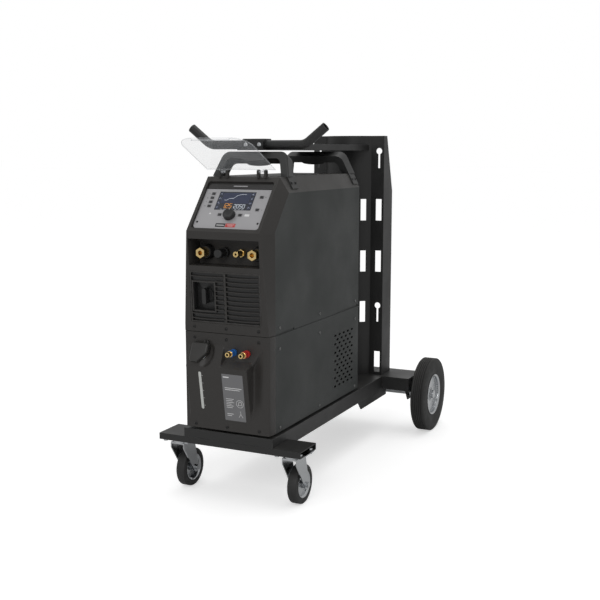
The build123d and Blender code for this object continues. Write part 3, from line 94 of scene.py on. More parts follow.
def newTree(name, treeKind, inputs, outputs):
    tree = bpy.data.node_groups.new(name, treeKind)
    for direction, sockets in (("INPUT", inputs), ("OUTPUT", outputs)):
        for socketName, (kind, value) in sockets.items():
            socket = tree.interface.new_socket(socketName, in_out=direction, socket_type="NodeSocket" + kind)
            if value is not None:
                socket.default_value = value
    return tree


def socketOf(sockets, name):
    return sockets[int(name)] if name.isdigit() else sockets[name]


def wire(tree, parts, links):
    # nodes by a short name with their settings, then one line a link: node.output > node.input
    made = {}
    for name, part in parts.items():
        if isinstance(part, bpy.types.Node):
            made[name] = part
            continue
        kind, settings = (part, {}) if isinstance(part, str) else part
        made[name] = tree.nodes.new(kind)
        for key, value in settings.items():
            if isinstance(key, int) or key in made[name].inputs:
                made[name].inputs[key].default_value = value
            else:
                setattr(made[name], key, value)
    for line in links.strip().splitlines():
        (source, output), (target, slot) = (end.strip().split(".") for end in line.split(">"))
        tree.links.new(socketOf(made[source].outputs, output), socketOf(made[target].inputs, slot))
    return made


def makeGrain():
    tree = newTree("paintGrain", "ShaderNodeTree", {"Scale": ("Float", 900.0), "Patches": ("Float", 6.0)},
                   {"Height": ("Float", None), "Patch": ("Float", None)})
    wire(tree, {**groupEnds, "place": "ShaderNodeTexCoord", "fine": ("ShaderNodeTexNoise", {"Detail": 3.0}),
                "wide": ("ShaderNodeTexNoise", {"Detail": 4.0})}, """
        place.Object > fine.Vector
        place.Object > wide.Vector
        start.Scale > fine.Scale
        start.Patches > wide.Scale
        fine.Fac > end.Height
        wide.Fac > end.Patch""")
    return tree


def makeEdgeWearAndPaintedLight():
    # the rounded edges carry an attribute of their own; paint is thin there, and the lighter edge colour is
    # also a painted highlight along the edges; on the clear sheet the same mask lays painted shade along the
    # cut edges
    tree = newTree("edgeWearAndPaintedLight", "ShaderNodeTree", {"Amount": ("Float", 0.5)}, {"Mask": ("Float", None)})
    wire(tree, {**maskParts, "edge": ("ShaderNodeAttribute", {"attribute_name": "edge"}),
                "place": "ShaderNodeTexCoord", "noise": ("ShaderNodeTexNoise", {"Scale": 45.0, "Detail": 5.0}),
                "breakUp": ("ShaderNodeMapRange", {"From Min": 0.40, "From Max": 0.66})}, """
        place.Object > noise.Vector
        noise.Fac > breakUp.Value
        edge.Fac > both.0
        breakUp.Result > both.1""" + maskLinks)
    return tree


def makeDust():
    # dust settles where a face looks up
    tree = newTree("settledDust", "ShaderNodeTree", {"Amount": ("Float", 0.2)}, {"Mask": ("Float", None)})
    wire(tree, {**maskParts, "shape": "ShaderNodeNewGeometry", "parts": "ShaderNodeSeparateXYZ",
                "place": "ShaderNodeTexCoord", "noise": ("ShaderNodeTexNoise", {"Scale": 14.0, "Detail": 8.0}),
                "upward": ("ShaderNodeMapRange", {"From Min": 0.2}),
                "speckle": ("ShaderNodeMapRange", {"From Min": 0.35, "From Max": 0.75})}, """
        shape.Normal > parts.Vector
        parts.Z > upward.Value
        place.Object > noise.Vector
        noise.Fac > speckle.Value
        upward.Result > both.0
        speckle.Result > both.1""" + maskLinks)
    return tree


paintGrain = makeGrain()
edgeWearAndPaintedLight = makeEdgeWearAndPaintedLight()
settledDust = makeDust()
finishes = {}
dustColour = (0.42, 0.40, 0.37)


def placeGroup(tree, group, **values):
    node = tree.nodes.new("ShaderNodeGroup")
    node.node_tree = group
    for name, value in values.items():
        node.inputs[name].default_value = value
    return node


def mixColours(tree, mask, first, second):
    mix = tree.nodes.new("ShaderNodeMix")
    mix.data_type = "RGBA"
    tree.links.new(mask, mix.inputs["Factor"])
    for slot, colour in ((6, first), (7, second)):
        if isinstance(colour, bpy.types.NodeSocket):
            tree.links.new(colour, mix.inputs[slot])
        else:
            mix.inputs[slot].default_value = (*colour, 1)
    return mix.outputs[2]


def newSurface(name):
    material = bpy.data.materials.new(name)
    material.use_nodes = True
    return material, material.node_tree, material.node_tree.nodes["Principled BSDF"]


def makeFinish(name, colour, patchColour, roughness=0.5, metallic=0.0, grain=900.0, bump=0.1, patches=6.0,
               wearAndPaintedEdgeLight=0.0, wearAndPaintedEdgeLightColour=(0.35, 0.35, 0.34), dust=0.0, stretch=(1, 1, 1), spread=0.1, **plain):
    # painted, plated and moulded surfaces: patchy colour, fine grain, bare edges that also carry a painted
    # edge highlight (painted edge shade on the clear sheet), settled dust
    material, tree, shader = newSurface(name)
    grainNode = placeGroup(tree, paintGrain, Scale=grain, Patches=patches)
    base = mixColours(tree, grainNode.outputs["Patch"], colour, patchColour)
    # edges mixed to their own colour: worn paint together with a painted highlight on the paints, painted
    # shade on the clear sheet
    if wearAndPaintedEdgeLight:
        wearAndPaintedLightNode = placeGroup(tree, edgeWearAndPaintedLight, Amount=wearAndPaintedEdgeLight)
        base = mixColours(tree, wearAndPaintedLightNode.outputs["Mask"], base, wearAndPaintedEdgeLightColour)
    if dust:
        dustNode = placeGroup(tree, settledDust, Amount=dust)
        base = mixColours(tree, dustNode.outputs["Mask"], base, dustColour)
    tree.links.new(base, shader.inputs["Base Color"])
    gloss = {"From Min": 0.3, "From Max": 0.7, "To Min": max(roughness - spread, 0.02),
             "To Max": min(roughness + spread, 1.0)}
    wire(tree, {"shader": shader, "grain": grainNode, "gloss": ("ShaderNodeMapRange", gloss)}, """
        grain.Patch > gloss.Value
        gloss.Result > shader.Roughness""")
    if bump:
        relief = ("ShaderNodeBump", {"Strength": bump, "Distance": 0.0004})
        wire(tree, {"shader": shader, "grain": grainNode, "relief": relief}, """
            grain.Height > relief.Height
            relief.Normal > shader.Normal""")
    shader.inputs["Metallic"].default_value = metallic
    for socket, value in plain.items():
        shader.inputs[socket.replace("_", " ")].default_value = value
    finishes[name] = material
    return tree, shader


def makeBrushed(name, colour, patchColour, roughness, metallic, across=(8, 900, 900)):
    # long fine scratches along one direction
    tree, shader = makeFinish(name, colour, patchColour, roughness, metallic, bump=0)
    wire(tree, {"shader": shader, "place": "ShaderNodeTexCoord",
                "mapping": ("ShaderNodeMapping", {"Scale": across}),
                "lines": ("ShaderNodeTexNoise", {"Scale": 1.0, "Detail": 2.0}),
                "relief": ("ShaderNodeBump", {"Strength": 0.06, "Distance": 0.0003})}, """
        place.Object > mapping.Vector
        mapping.Vector > lines.Vector
        lines.Fac > relief.Height
        relief.Normal > shader.Normal""")


# the edge amounts below set both the worn paint and the painted highlight along the rounded edges
makeFinish("trolleyPaint", (0.012, 0.012, 0.012), (0.017, 0.017, 0.0166), 0.45, grain=420, bump=0.16,
           wearAndPaintedEdgeLight=0.14, dust=0.05, Specular_IOR_Level=0.4)
makeFinish("casePaint", (0.022, 0.025, 0.024), (0.026, 0.029, 0.028), 0.52, grain=1500, bump=0.3, wearAndPaintedEdgeLight=0.25,
           dust=0.04, Specular_IOR_Level=0.32)
makeFinish("frontMoulding", (0.028, 0.0262, 0.0246), (0.034, 0.0318, 0.030), 0.42, grain=1300, bump=0.2,
           wearAndPaintedEdgeLight=0.15, dust=0.03, Specular_IOR_Level=0.3)
# a lighter copy of casePaint for the top cover: painted light, the roof drawn lighter where it faces up to the
# lamps
makeFinish("casePaintWithPaintedRoofLight", (0.034, 0.0325, 0.0305), (0.040, 0.0385, 0.0365), 0.5, grain=1500, bump=0.3,
           wearAndPaintedEdgeLight=0.25, dust=0.05, Specular_IOR_Level=0.45)
makeFinish("capMoulding", (0.020, 0.019, 0.018), (0.026, 0.025, 0.023), 0.45, grain=1300, bump=0.2)
makeFinish("blackMoulding", (0.010, 0.010, 0.0102), (0.016, 0.016, 0.0162), 0.4, grain=1100, bump=0.12)
makeFinish("handleMoulding", (0.018, 0.0185, 0.0182), (0.025, 0.0255, 0.025), 0.48, grain=1600, bump=0.3,
           wearAndPaintedEdgeLight=0.2, dust=0.05)
makeFinish("zincPlate", (0.44, 0.455, 0.47), (0.52, 0.53, 0.54), 0.2, 1.0, grain=400, bump=0.02, patches=16,
           spread=0.05)
makeFinish("dullZinc", (0.13, 0.13, 0.13), (0.22, 0.22, 0.22), 0.4, 0.9, grain=300, bump=0.05, patches=120)
makeFinish("blackScrew", (0.006, 0.006, 0.006), (0.011, 0.011, 0.011), 0.35, 0.2, grain=300, bump=0.05,
           patches=120)
makeFinish("wheelRubber", (0.013, 0.013, 0.013), (0.021, 0.021, 0.020), 0.72, grain=500, bump=0.35,
           patches=20, dust=0.08)
makeFinish("castorRubber", (0.012, 0.012, 0.012), (0.018, 0.018, 0.018), 0.6, grain=700, bump=0.2, patches=30,
           dust=0.05)
makeBrushed("silverFoil", (0.34, 0.335, 0.345), (0.40, 0.395, 0.405), 0.38, 0.35)
makeFinish("darkFoil", (0.020, 0.019, 0.019), (0.028, 0.027, 0.026), 0.3, grain=800, bump=0.05)
makeFinish("screenGlass", (0.012, 0.015, 0.024), (0.018, 0.022, 0.034), 0.12, bump=0, spread=0.04,
           Coat_Weight=0.4)
makeFinish("buttonCap", (0.022, 0.022, 0.024), (0.035, 0.035, 0.037), 0.35, grain=900, bump=0.06)
makeFinish("brassTurned", (0.74, 0.52, 0.20), (0.86, 0.66, 0.32), 0.24, 1.0, grain=700, bump=0.04, patches=60,
           spread=0.08)
makeFinish("blueAnodised", (0.02, 0.14, 0.52), (0.04, 0.22, 0.62), 0.3, 0.55, grain=700, bump=0.05,
           patches=60)
makeFinish("redAnodised", (0.52, 0.02, 0.02), (0.62, 0.05, 0.04), 0.3, 0.45, grain=700, bump=0.05,
           patches=60)
makeFinish("finAluminium", (0.62, 0.63, 0.64), (0.74, 0.75, 0.76), 0.35, 1.0, grain=500, bump=0.05,
           patches=40)
makeFinish("coreVarnish", (0.07, 0.035, 0.015), (0.12, 0.06, 0.03), 0.35, grain=300, bump=0.2, patches=50,
           dust=0.3)
makeFinish("boardGreen", (0.01, 0.10, 0.04), (0.02, 0.15, 0.06), 0.35, grain=600, bump=0.1)
makeFinish("milkyTank", (0.72, 0.73, 0.70), (0.80, 0.81, 0.78), 0.4, grain=400, bump=0.08, patches=10,
           Subsurface_Weight=0.15)
makeFinish("pumpEnamel", (0.09, 0.10, 0.11), (0.13, 0.14, 0.15), 0.35, grain=300, bump=0.1, wearAndPaintedEdgeLight=0.5,
           dust=0.3)
makeFinish("labelFilm", (0.125, 0.125, 0.13), (0.15, 0.15, 0.155), 0.3, grain=900, bump=0.04)
makeFinish("printPale", (0.62, 0.62, 0.62), (0.70, 0.70, 0.70), 0.5, grain=900, bump=0.05)
makeFinish("printDark", (0.018, 0.018, 0.02), (0.03, 0.03, 0.032), 0.5, grain=900, bump=0.05)
makeFinish("printRed", (0.42, 0.02, 0.02), (0.5, 0.04, 0.03), 0.45, grain=900, bump=0.05)
makeFinish("levelStrip", (0.42, 0.43, 0.41), (0.54, 0.55, 0.53), 0.25, grain=300, bump=0.05, patches=30)


def makeGlow(name, colour, strength):
    tree, shader = makeFinish(name, colour, colour, 0.4, bump=0)
    shader.inputs["Emission Color"].default_value = (*colour, 1)
    shader.inputs["Emission Strength"].default_value = strength


def makeClear(name):
    # clear sheet with a light veil, and painted shade along its cut edges: darker and less clear there,
    # standing in for light bending in the edges
    tree, shader = makeFinish(name, (0.66, 0.68, 0.70), (0.72, 0.74, 0.76), 0.06, bump=0, spread=0.03,
                              wearAndPaintedEdgeLight=1.0, wearAndPaintedEdgeLightColour=(0.30, 0.31, 0.32))
    # the edge attribute makes the cut edges more opaque: part of the painted shade along them
    wire(tree, {"shader": shader, "edge": ("ShaderNodeAttribute", {"attribute_name": "edge"}),
                "veil": ("ShaderNodeMapRange", {"To Min": 0.12, "To Max": 0.80})}, """
        edge.Fac > veil.Value
        veil.Result > shader.Alpha""")


makeGlow("screenPale", (0.60, 0.64, 0.70), 0.15)
makeGlow("screenAmber", (0.72, 0.30, 0.05), 0.15)
makeGlow("screenBlue", (0.024, 0.030, 0.062), 0.1)
makeClear("clearSheet")
print("finishes made:", len(finishes))


# mesh helpers

def placed(name, data):
    item = bpy.data.objects.new(name, data)
    bpy.context.scene.collection.objects.link(item)
    return item


def finishPiece(name, mesh, body, finish, standsFor=()):
    piece = placed(name, mesh)
    mesh.materials.clear()
    mesh.materials.append(finishes[finish])
    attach(piece, body)
    if standsFor:
        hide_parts(*standsFor)
    return piece


def smoothed(mesh, sharpAngle=35):
    mesh.polygons.foreach_set("use_smooth", [True] * len(mesh.polygons))
    mesh.set_sharp_from_angle(angle=math.radians(sharpAngle))
    return mesh


def meshFrom(work, name, sharpAngle=35):
    mesh = bpy.data.meshes.new(name)
    bmesh.ops.recalc_face_normals(work, faces=work.faces)
    work.to_mesh(mesh)
    work.free()
    return smoothed(mesh, sharpAngle)


def finishWork(work, name, finish, body="trolley", standsFor=(), soften=0.0, sharpAngle=35):
    mesh = meshFrom(work, name, sharpAngle)
    if soften:
        mesh = softenEdges(mesh, name, soften)
    return finishPiece(name, mesh, body, finish, standsFor)


def flattened(piece):
    # the plain mesh that the piece's modifiers make; the piece itself goes
    graph = bpy.context.evaluated_depsgraph_get()
    mesh = bpy.data.meshes.new_from_object(piece.evaluated_get(graph), preserve_all_data_layers=True,
                                           depsgraph=graph)
    bpy.data.objects.remove(piece)
    return mesh


def softenEdges(mesh, name, width):
    # the bevel gives its own faces the second material, which becomes the edge attribute
    piece = placed(name, mesh)
    bevel = piece.modifiers.new("softEdges", "BEVEL")
    bevel.width = width * mm
    bevel.segments = 2
    bevel.limit_method = "ANGLE"
    bevel.angle_limit = math.radians(38)
    bevel.harden_normals = True
    mesh.materials.clear()
    for material in (None, None):
        mesh.materials.append(material)
    bevel.material = 1
    result = flattened(piece)
    marks = [0] * len(result.polygons)
    result.polygons.foreach_get("material_index", marks)
    result.attributes.new("edge", "FLOAT", "FACE")
    result.attributes["edge"].data.foreach_set("value", [float(mark) for mark in marks])
    result.polygons.foreach_set("material_index", [0] * len(marks))
    return result


def softCopy(nodeName, pieceName, finish, width):
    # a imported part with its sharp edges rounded
    mesh = nodes[nodeName].data.copy()
    work = bmesh.new()
    work.from_mesh(mesh)
    bmesh.ops.remove_doubles(work, verts=work.verts, dist=2e-6)
    bmesh.ops.dissolve_limit(work, angle_limit=math.radians(0.1), verts=work.verts, edges=work.edges)
    work.to_mesh(mesh)
    work.free()
    soft = softenEdges(smoothed(mesh), pieceName, width)
    return finishPiece(pieceName, soft, bodyOf[nodeName], finish, (nodeName,))


def addSlab(work, place, outline, low, high):
    addStack(work, place, outline, ((low, 1.0), (high, 1.0)))


def addStack(work, place, outline, levels):
    # one outline at (height, scale) levels, walled and closed at both ends
    rings = [[work.verts.new(place @ Vector((x * scale, y * scale, height))) for x, y in outline]
             for height, scale in levels]
    work.faces.new(rings[-1])
    work.faces.new(rings[0][::-1])
    for lower, upper in zip(rings[:-1], rings[1:]):
        for i in range(len(outline)):
            j = (i + 1) % len(outline)
            work.faces.new((lower[i], lower[j], upper[j], upper[i]))


def addPlate(work, place, centre, size, low, high, radius=0.0, steps=5):
    # a flat plate with round corners, in a slope's own millimetres
    outline = []
    halfW = size[0] / 2
    halfH = size[1] / 2
    radius = min(radius, halfW, halfH)
    for quarter, (sx, sy) in enumerate(((1, 1), (-1, 1), (-1, -1), (1, -1))):
        cx = centre[0] + sx * (halfW - radius)
        cy = centre[1] + sy * (halfH - radius)
        count = steps if radius > 0 else 0
        for step in range(count + 1):
            angle = math.radians(90 * quarter + (90 * step / count if count else 45))
            outline.append((cx + radius * math.cos(angle), cy + radius * math.sin(angle)))
    addSlab(work, place, outline, low, high)


def addStroke(work, place, points, width, low, high):
    for (x0, y0), (x1, y1) in zip(points[:-1], points[1:]):
        along = Vector((x1 - x0, y1 - y0)).normalized() * width / 2
        side = Vector((-along.y, along.x))
        start = Vector((x0, y0)) - along
        end = Vector((x1, y1)) + along
        addSlab(work, place, [start + side, start - side, end - side, end + side], low, high)


def addTurned(work, place, outline, steps, wave=None):
    # a turned shape about the local third axis from (radius, height) points; its ends are closed at the axis
    rings = []
    for radius, height in outline:
        if radius < 1e-6:
            rings.append([work.verts.new(place @ Vector((0, 0, height)))])
            continue
        ring = []
        for i in range(steps):
            angle = 2 * math.pi * i / steps
            r = radius if wave is None else wave(radius, height, angle)
            ring.append(work.verts.new(place @ Vector((r * math.cos(angle), r * math.sin(angle), height))))
        rings.append(ring)
    for first, second in zip(rings[:-1], rings[1:]):
        for i in range(steps):
            j = (i + 1) % steps
            if len(first) == 1:
                work.faces.new((first[0], second[i], second[j]))
            elif len(second) == 1:
                work.faces.new((first[j], first[i], second[0]))
            else:
                work.faces.new((first[i], second[i], second[j], first[j]))


# plain sheet, tube and moulded parts keep their shape and get rounded edges

softParts = [
    ("black_steel", "trolleyPaint", {"tray": ("deckTray", 0.9), "front_beam": ("frontBeam", 0.9),
      "rear_platform": ("bottlePlatform", 0.9), "frame_brackets": ("frameBrackets", 0.8),
      "gas_column": ("bottleColumn", 0.9), "bar_arm": ("barArm", 0.8), "bar_clamp": ("barClamp", 1.2),
      "torch_bar": ("torchBar", 0.5)}),
    ("zinc_steel", "zincPlate", {"rear_axle": ("rearAxle", 0.6), "trolley_fasteners": ("trolleyBolts", 0.5),
      "castor_plates": ("castorPlates", 0.5), "castor_fork_left": ("castorForkLeft", 0.6),
      "castor_fork_right": ("castorForkRight", 0.6), "castor_rim_left": ("castorRimLeft", 0.6),
      "castor_rim_right": ("castorRimRight", 0.6)}),
    ("castor_rubber", "castorRubber", {"castor_tyre_left": ("castorTyreLeft", 1.0),
      "castor_tyre_right": ("castorTyreRight", 1.0)}),
    ("zinc_steel", "zincPlate", {"rear_rim_left": ("rearRimLeft", 0.8),
      "rear_rim_right": ("rearRimRight", 0.8)}),
    ("tyre_rubber", "wheelRubber", {"rear_tyre_left": ("rearTyreLeft", 0.8),
      "rear_tyre_right": ("rearTyreRight", 0.8)}),
    ("fascia_plastic", "frontMoulding", {"source_fascia": ("sourceFront", 1.2)}),
    ("case_paint", "casePaint", {"side_panels": ("sidePanels", 0.6)}),
    # the top cover takes the lighter copy of the case paint: painted light on the upward-facing roof
    ("case_paint", "casePaintWithPaintedRoofLight", {"top_cover": ("topCover", 0.6)}),
    ("case_paint", "casePaint", {"source_chassis": ("sourceChassis", 0.5),
      "cooler_cover": ("coolerCover", 0.6), "cooler_chassis": ("coolerChassis", 0.5)}),
    ("black_plastic", "handleMoulding", {"front_handle": ("frontHandle", 3.0),
      "rear_handle": ("rearHandle", 3.0)}),
    ("black_plastic", "blackMoulding", {"switch_housing": ("switchHousing", 0.8),
      "switch_handle": ("switchBar", 1.5), "black_sockets": ("outletBodies", 0.8)}),
    ("brass", "brassTurned", {"brass_fittings": ("brassFittings", 0.6)}),
    ("panel_metal", "silverFoil", {"control_panel": ("controlPlate", 0.4)}),
    ("screen_glass", "screenGlass", {"display_screen": ("displayWindow", 0.3)}),
    ("clear_plastic", "clearSheet", {"visor": ("clearVisor", 0.9)}),
    ("black_plastic", "blackMoulding", {"fan_frames": ("fanFrames", 0.8), "source_fan": ("sourceFan", 0.6),
      "cooler_fan": ("coolerFan", 0.6)}),
    ("fin_aluminium", "finAluminium", {"heat_sink": ("heatSink", 0.4)}),
    ("core_iron", "coreVarnish", {"power_transformer": ("powerTransformer", 1.0)}),
    ("board_green", "boardGreen", {"control_board": ("controlBoard", 0.3)}),
    ("tank_plastic", "milkyTank", {"coolant_tank": ("coolantTank", 1.5)}),
    ("pump_paint", "pumpEnamel", {"coolant_pump": ("coolantPump", 1.2)}),
    ("fin_aluminium", "finAluminium", {"radiator": ("radiatorCore", 0.3)}),
    ("blue_metal", "blueAnodised", {"coupler_sleeve_blue": ("blueSleeve", 0.5)}),
    ("red_metal", "redAnodised", {"coupler_sleeve_red": ("redSleeve", 0.5)}),
]
softCount = 0
for slot, finish, members in softParts:
    for name, (pieceName, width) in members.items():
        softCopy(name, pieceName, finish, width)
        softCount += 1
for name in nodes:
    if name.startswith("button_"):
        softCopy(name, "key_" + name[7:], "buttonCap", 0.3)
print("parts with rounded edges:", softCount)


# case screws, set out by a node tree

screwPlan = {"x": 100, "frontZ": (218, 464, 494), "sideZ": (219, 440, 498), "sideFront": 26, "sideMiddle": 290,
             "sideRear": 27, "headRadius": 4.2, "headHeight": 2.2, "socketRadius": 2.0, "socketDepth": 1.4,
             "frontFoot": 163, "rearFoot": 24, "footSpread": 12, "bandWidth": 22, "bandHeight": 43,
             "bandBottom": 860, "footAlong": 0.55, "footThickness": 4, "caseHalf": 134,
             "panelX": 93, "panelS": 35, "panelScale": 0.7}


def makeScrewHead():
    plan = screwPlan
    work = bmesh.new()
    r = plan["headRadius"]
    h = plan["headHeight"]
    s = plan["socketRadius"]
    outline = [(0, 0), (r, 0), (r, h * 0.45), (r * 0.93, h * 0.75), (r * 0.75, h * 0.95), (r * 0.58, h),
               (s, h), (s * 0.94, h - plan["socketDepth"]), (0, h - plan["socketDepth"])]
    addTurned(work, Matrix.Scale(mm, 4), outline, 18)
    return placed("screwHead", meshFrom(work, "screwHead"))


def sideScrewPlaces():
    plan = screwPlan
    places = []
    for side in (-1, 1):
        for y in (caseFront + plan["sideFront"], caseFront + plan["sideMiddle"], caseRear - plan["sideRear"]):
            for z in plan["sideZ"]:
                places.append((Vector((side * plan["caseHalf"], y, z)), Vector((side, 0, 0)), 1.0))
    return places


def frontScrewPlaces():
    plan = screwPlan
    places = []
    for x in (-plan["x"], 0, plan["x"]):
        for z in plan["frontZ"]:
            places.append((Vector((x, frontY, z)), Vector((0, -1, 0)), 1.0))
    run = Vector((-plan["bandWidth"], plan["bandHeight"])).normalized()
    length = math.hypot(plan["bandWidth"], plan["bandHeight"])
    out = Vector((run.y, -run.x))
    for y in (frontY + plan["frontFoot"], caseRear - plan["rearFoot"]):
        for side in (-1, 1):
            for spread in (-plan["footSpread"], plan["footSpread"]):
                point = run * length * plan["footAlong"] + out * plan["footThickness"]
                places.append((Vector((side * (plan["caseHalf"] + point.x), y + spread,
                                       plan["bandBottom"] + point.y)), Vector((side * out.x, 0, out.y)), 1.0))
    for side in (-1, 1):
        spot = facetPlace @ Vector((side * plan["panelX"], plan["panelS"], facetSlope["plateTop"]))
        facing = (facetPlace.to_3x3() @ Vector((0, 0, 1))).normalized()
        places.append((spot / mm, facing, plan["panelScale"]))
    return places


instanceParts = {**groupEnds, "setOut": "GeometryNodeInstanceOnPoints",
                 "real": "GeometryNodeRealizeInstances", "coat": "GeometryNodeSetMaterial"}
instanceLinks = """
    setOut.Instances > real.Geometry
    real.Geometry > coat.Geometry
    start.Finish > coat.Material
    coat.Geometry > end.Geometry"""


def makeScrewTree():
    tree = newTree("screwField", "GeometryNodeTree",
                   {"Geometry": ("Geometry", None), "Head": ("Object", None), "Size": ("Float", 1.0),
                    "Finish": ("Material", None)}, {"Geometry": ("Geometry", None)})
    wire(tree, {**instanceParts, "info": "GeometryNodeObjectInfo",
                "facing": ("GeometryNodeInputNamedAttribute", {"data_type": "FLOAT_VECTOR", "Name": "facing"}),
                "relative": ("GeometryNodeInputNamedAttribute", {"data_type": "FLOAT", "Name": "relative"}),
                "align": ("FunctionNodeAlignRotationToVector", {"axis": "Z"}), "size": timesNode}, """
        start.Geometry > setOut.Points
        start.Head > info.Object
        info.Geometry > setOut.Instance
        facing.Attribute > align.Vector
        align.Rotation > setOut.Rotation
        relative.Attribute > size.0
        start.Size > size.1
        size.0 > setOut.Scale""" + instanceLinks)
    return tree


def setInputs(modifier, tree, **values):
    for item in tree.interface.items_tree:
        if item.item_type == "SOCKET" and item.in_out == "INPUT" and item.name in values:
            modifier[item.identifier] = values[item.name]


def makeScrews(pieceName, places, finish, standsFor=()):
    points = bpy.data.meshes.new("screwPoints")
    points.from_pydata([spot * mm for spot, facing, size in places], [], [])
    points.attributes.new("facing", "FLOAT_VECTOR", "POINT")
    points.attributes.new("relative", "FLOAT", "POINT")
    for i, (spot, direction, size) in enumerate(places):
        points.attributes["facing"].data[i].vector = direction
        points.attributes["relative"].data[i].value = size
    head = makeScrewHead()
    field = placed(pieceName, points)
    modifier = field.modifiers.new("screws", "NODES")
    tree = makeScrewTree()
    modifier.node_group = tree
    setInputs(modifier, tree, Head=head, Size=1.0, Finish=finishes[finish])
    mesh = flattened(field)
    bpy.data.objects.remove(head)
    finishPiece(pieceName, smoothed(mesh), "trolley", finish, standsFor)
    return len(places)


screwCount = makeScrews("sideScrews", sideScrewPlaces(), "dullZinc", ("case_screws",))
screwCount += makeScrews("frontScrews", frontScrewPlaces(), "blackScrew")
print("screws set out:", screwCount)


# louvre grille, its slats set out by a node tree

grillePlan = {"half": 110, "low": 507, "high": 650, "slats": 11, "pitch": 13.0, "bar": 6.2, "depth": 3.4,
              "sag": 3.0, "rim": 5.0, "rib": 7.0, "windowX": (-99, -33), "windowZ": (541, 619), "recess": 2.5,
              "rimSpan": (-5.5, -0.2), "frameBar": 4.0, "shortSag": 0.6, "baffleSpan": (-7.6, -6.6)}


def makeSlatTree():
    tree = newTree("bowedSlats", "GeometryNodeTree",
                   {"Count": ("Int", 10), "Pitch": ("Float", 0.013), "Half Width": ("Float", 0.105),
                    "Sag": ("Float", 0.003), "Bar": ("Float", 0.006), "Depth": ("Float", 0.003),
                    "Finish": ("Material", None)}, {"Geometry": ("Geometry", None)})
    wire(tree, {**instanceParts, "line": "GeometryNodeMeshLine", "step": "ShaderNodeCombineXYZ",
                "bow": ("GeometryNodeCurveQuadraticBezier", {"Resolution": 16}),
                "leftEnd": "ShaderNodeCombineXYZ", "rightEnd": "ShaderNodeCombineXYZ",
                "middle": "ShaderNodeCombineXYZ", "minus": minusNode, "down": minusNode,
                "section": "GeometryNodeCurvePrimitiveQuadrilateral",
                "corner": ("GeometryNodeFilletCurve", {"mode": "POLY", "Radius": 0.0012, "Count": 3}),
                "sweep": ("GeometryNodeCurveToMesh", {"Fill Caps": True})}, """
        start.Pitch > step.Y
        start.Count > line.Count
        step.Vector > line.Offset
        start.Half Width > minus.0
        minus.0 > leftEnd.X
        start.Half Width > rightEnd.X
        start.Sag > down.0
        down.0 > middle.Y
        leftEnd.Vector > bow.Start
        middle.Vector > bow.Middle
        rightEnd.Vector > bow.End
        start.Depth > section.Width
        start.Bar > section.Height
        section.Curve > corner.Curve
        bow.Curve > sweep.Curve
        corner.Curve > sweep.Profile Curve
        line.Mesh > setOut.Points
        sweep.Mesh > setOut.Instance""" + instanceLinks)
    return tree


def slatMesh(tree, count, x0, x1, firstS, sag):
    plan = grillePlan
    field = placed("slats", bpy.data.meshes.new("slats"))
    modifier = field.modifiers.new("slats", "NODES")
    modifier.node_group = tree
    values = {"Count": count, "Pitch": plan["pitch"] * mm, "Half Width": (x1 - x0) / 2 * mm, "Sag": sag * mm,
              "Bar": plan["bar"] * mm, "Depth": plan["depth"] * mm, "Finish": finishes["frontMoulding"]}
    setInputs(modifier, tree, **values)
    mesh = flattened(field)
    # from the tree's own plane onto the leaning front
    mesh.transform(Matrix.Scale(1 / mm, 4))
    mesh.transform(browPlace @ Matrix.Translation(((x0 + x1) / 2, firstS, -plan["recess"])))
    return mesh


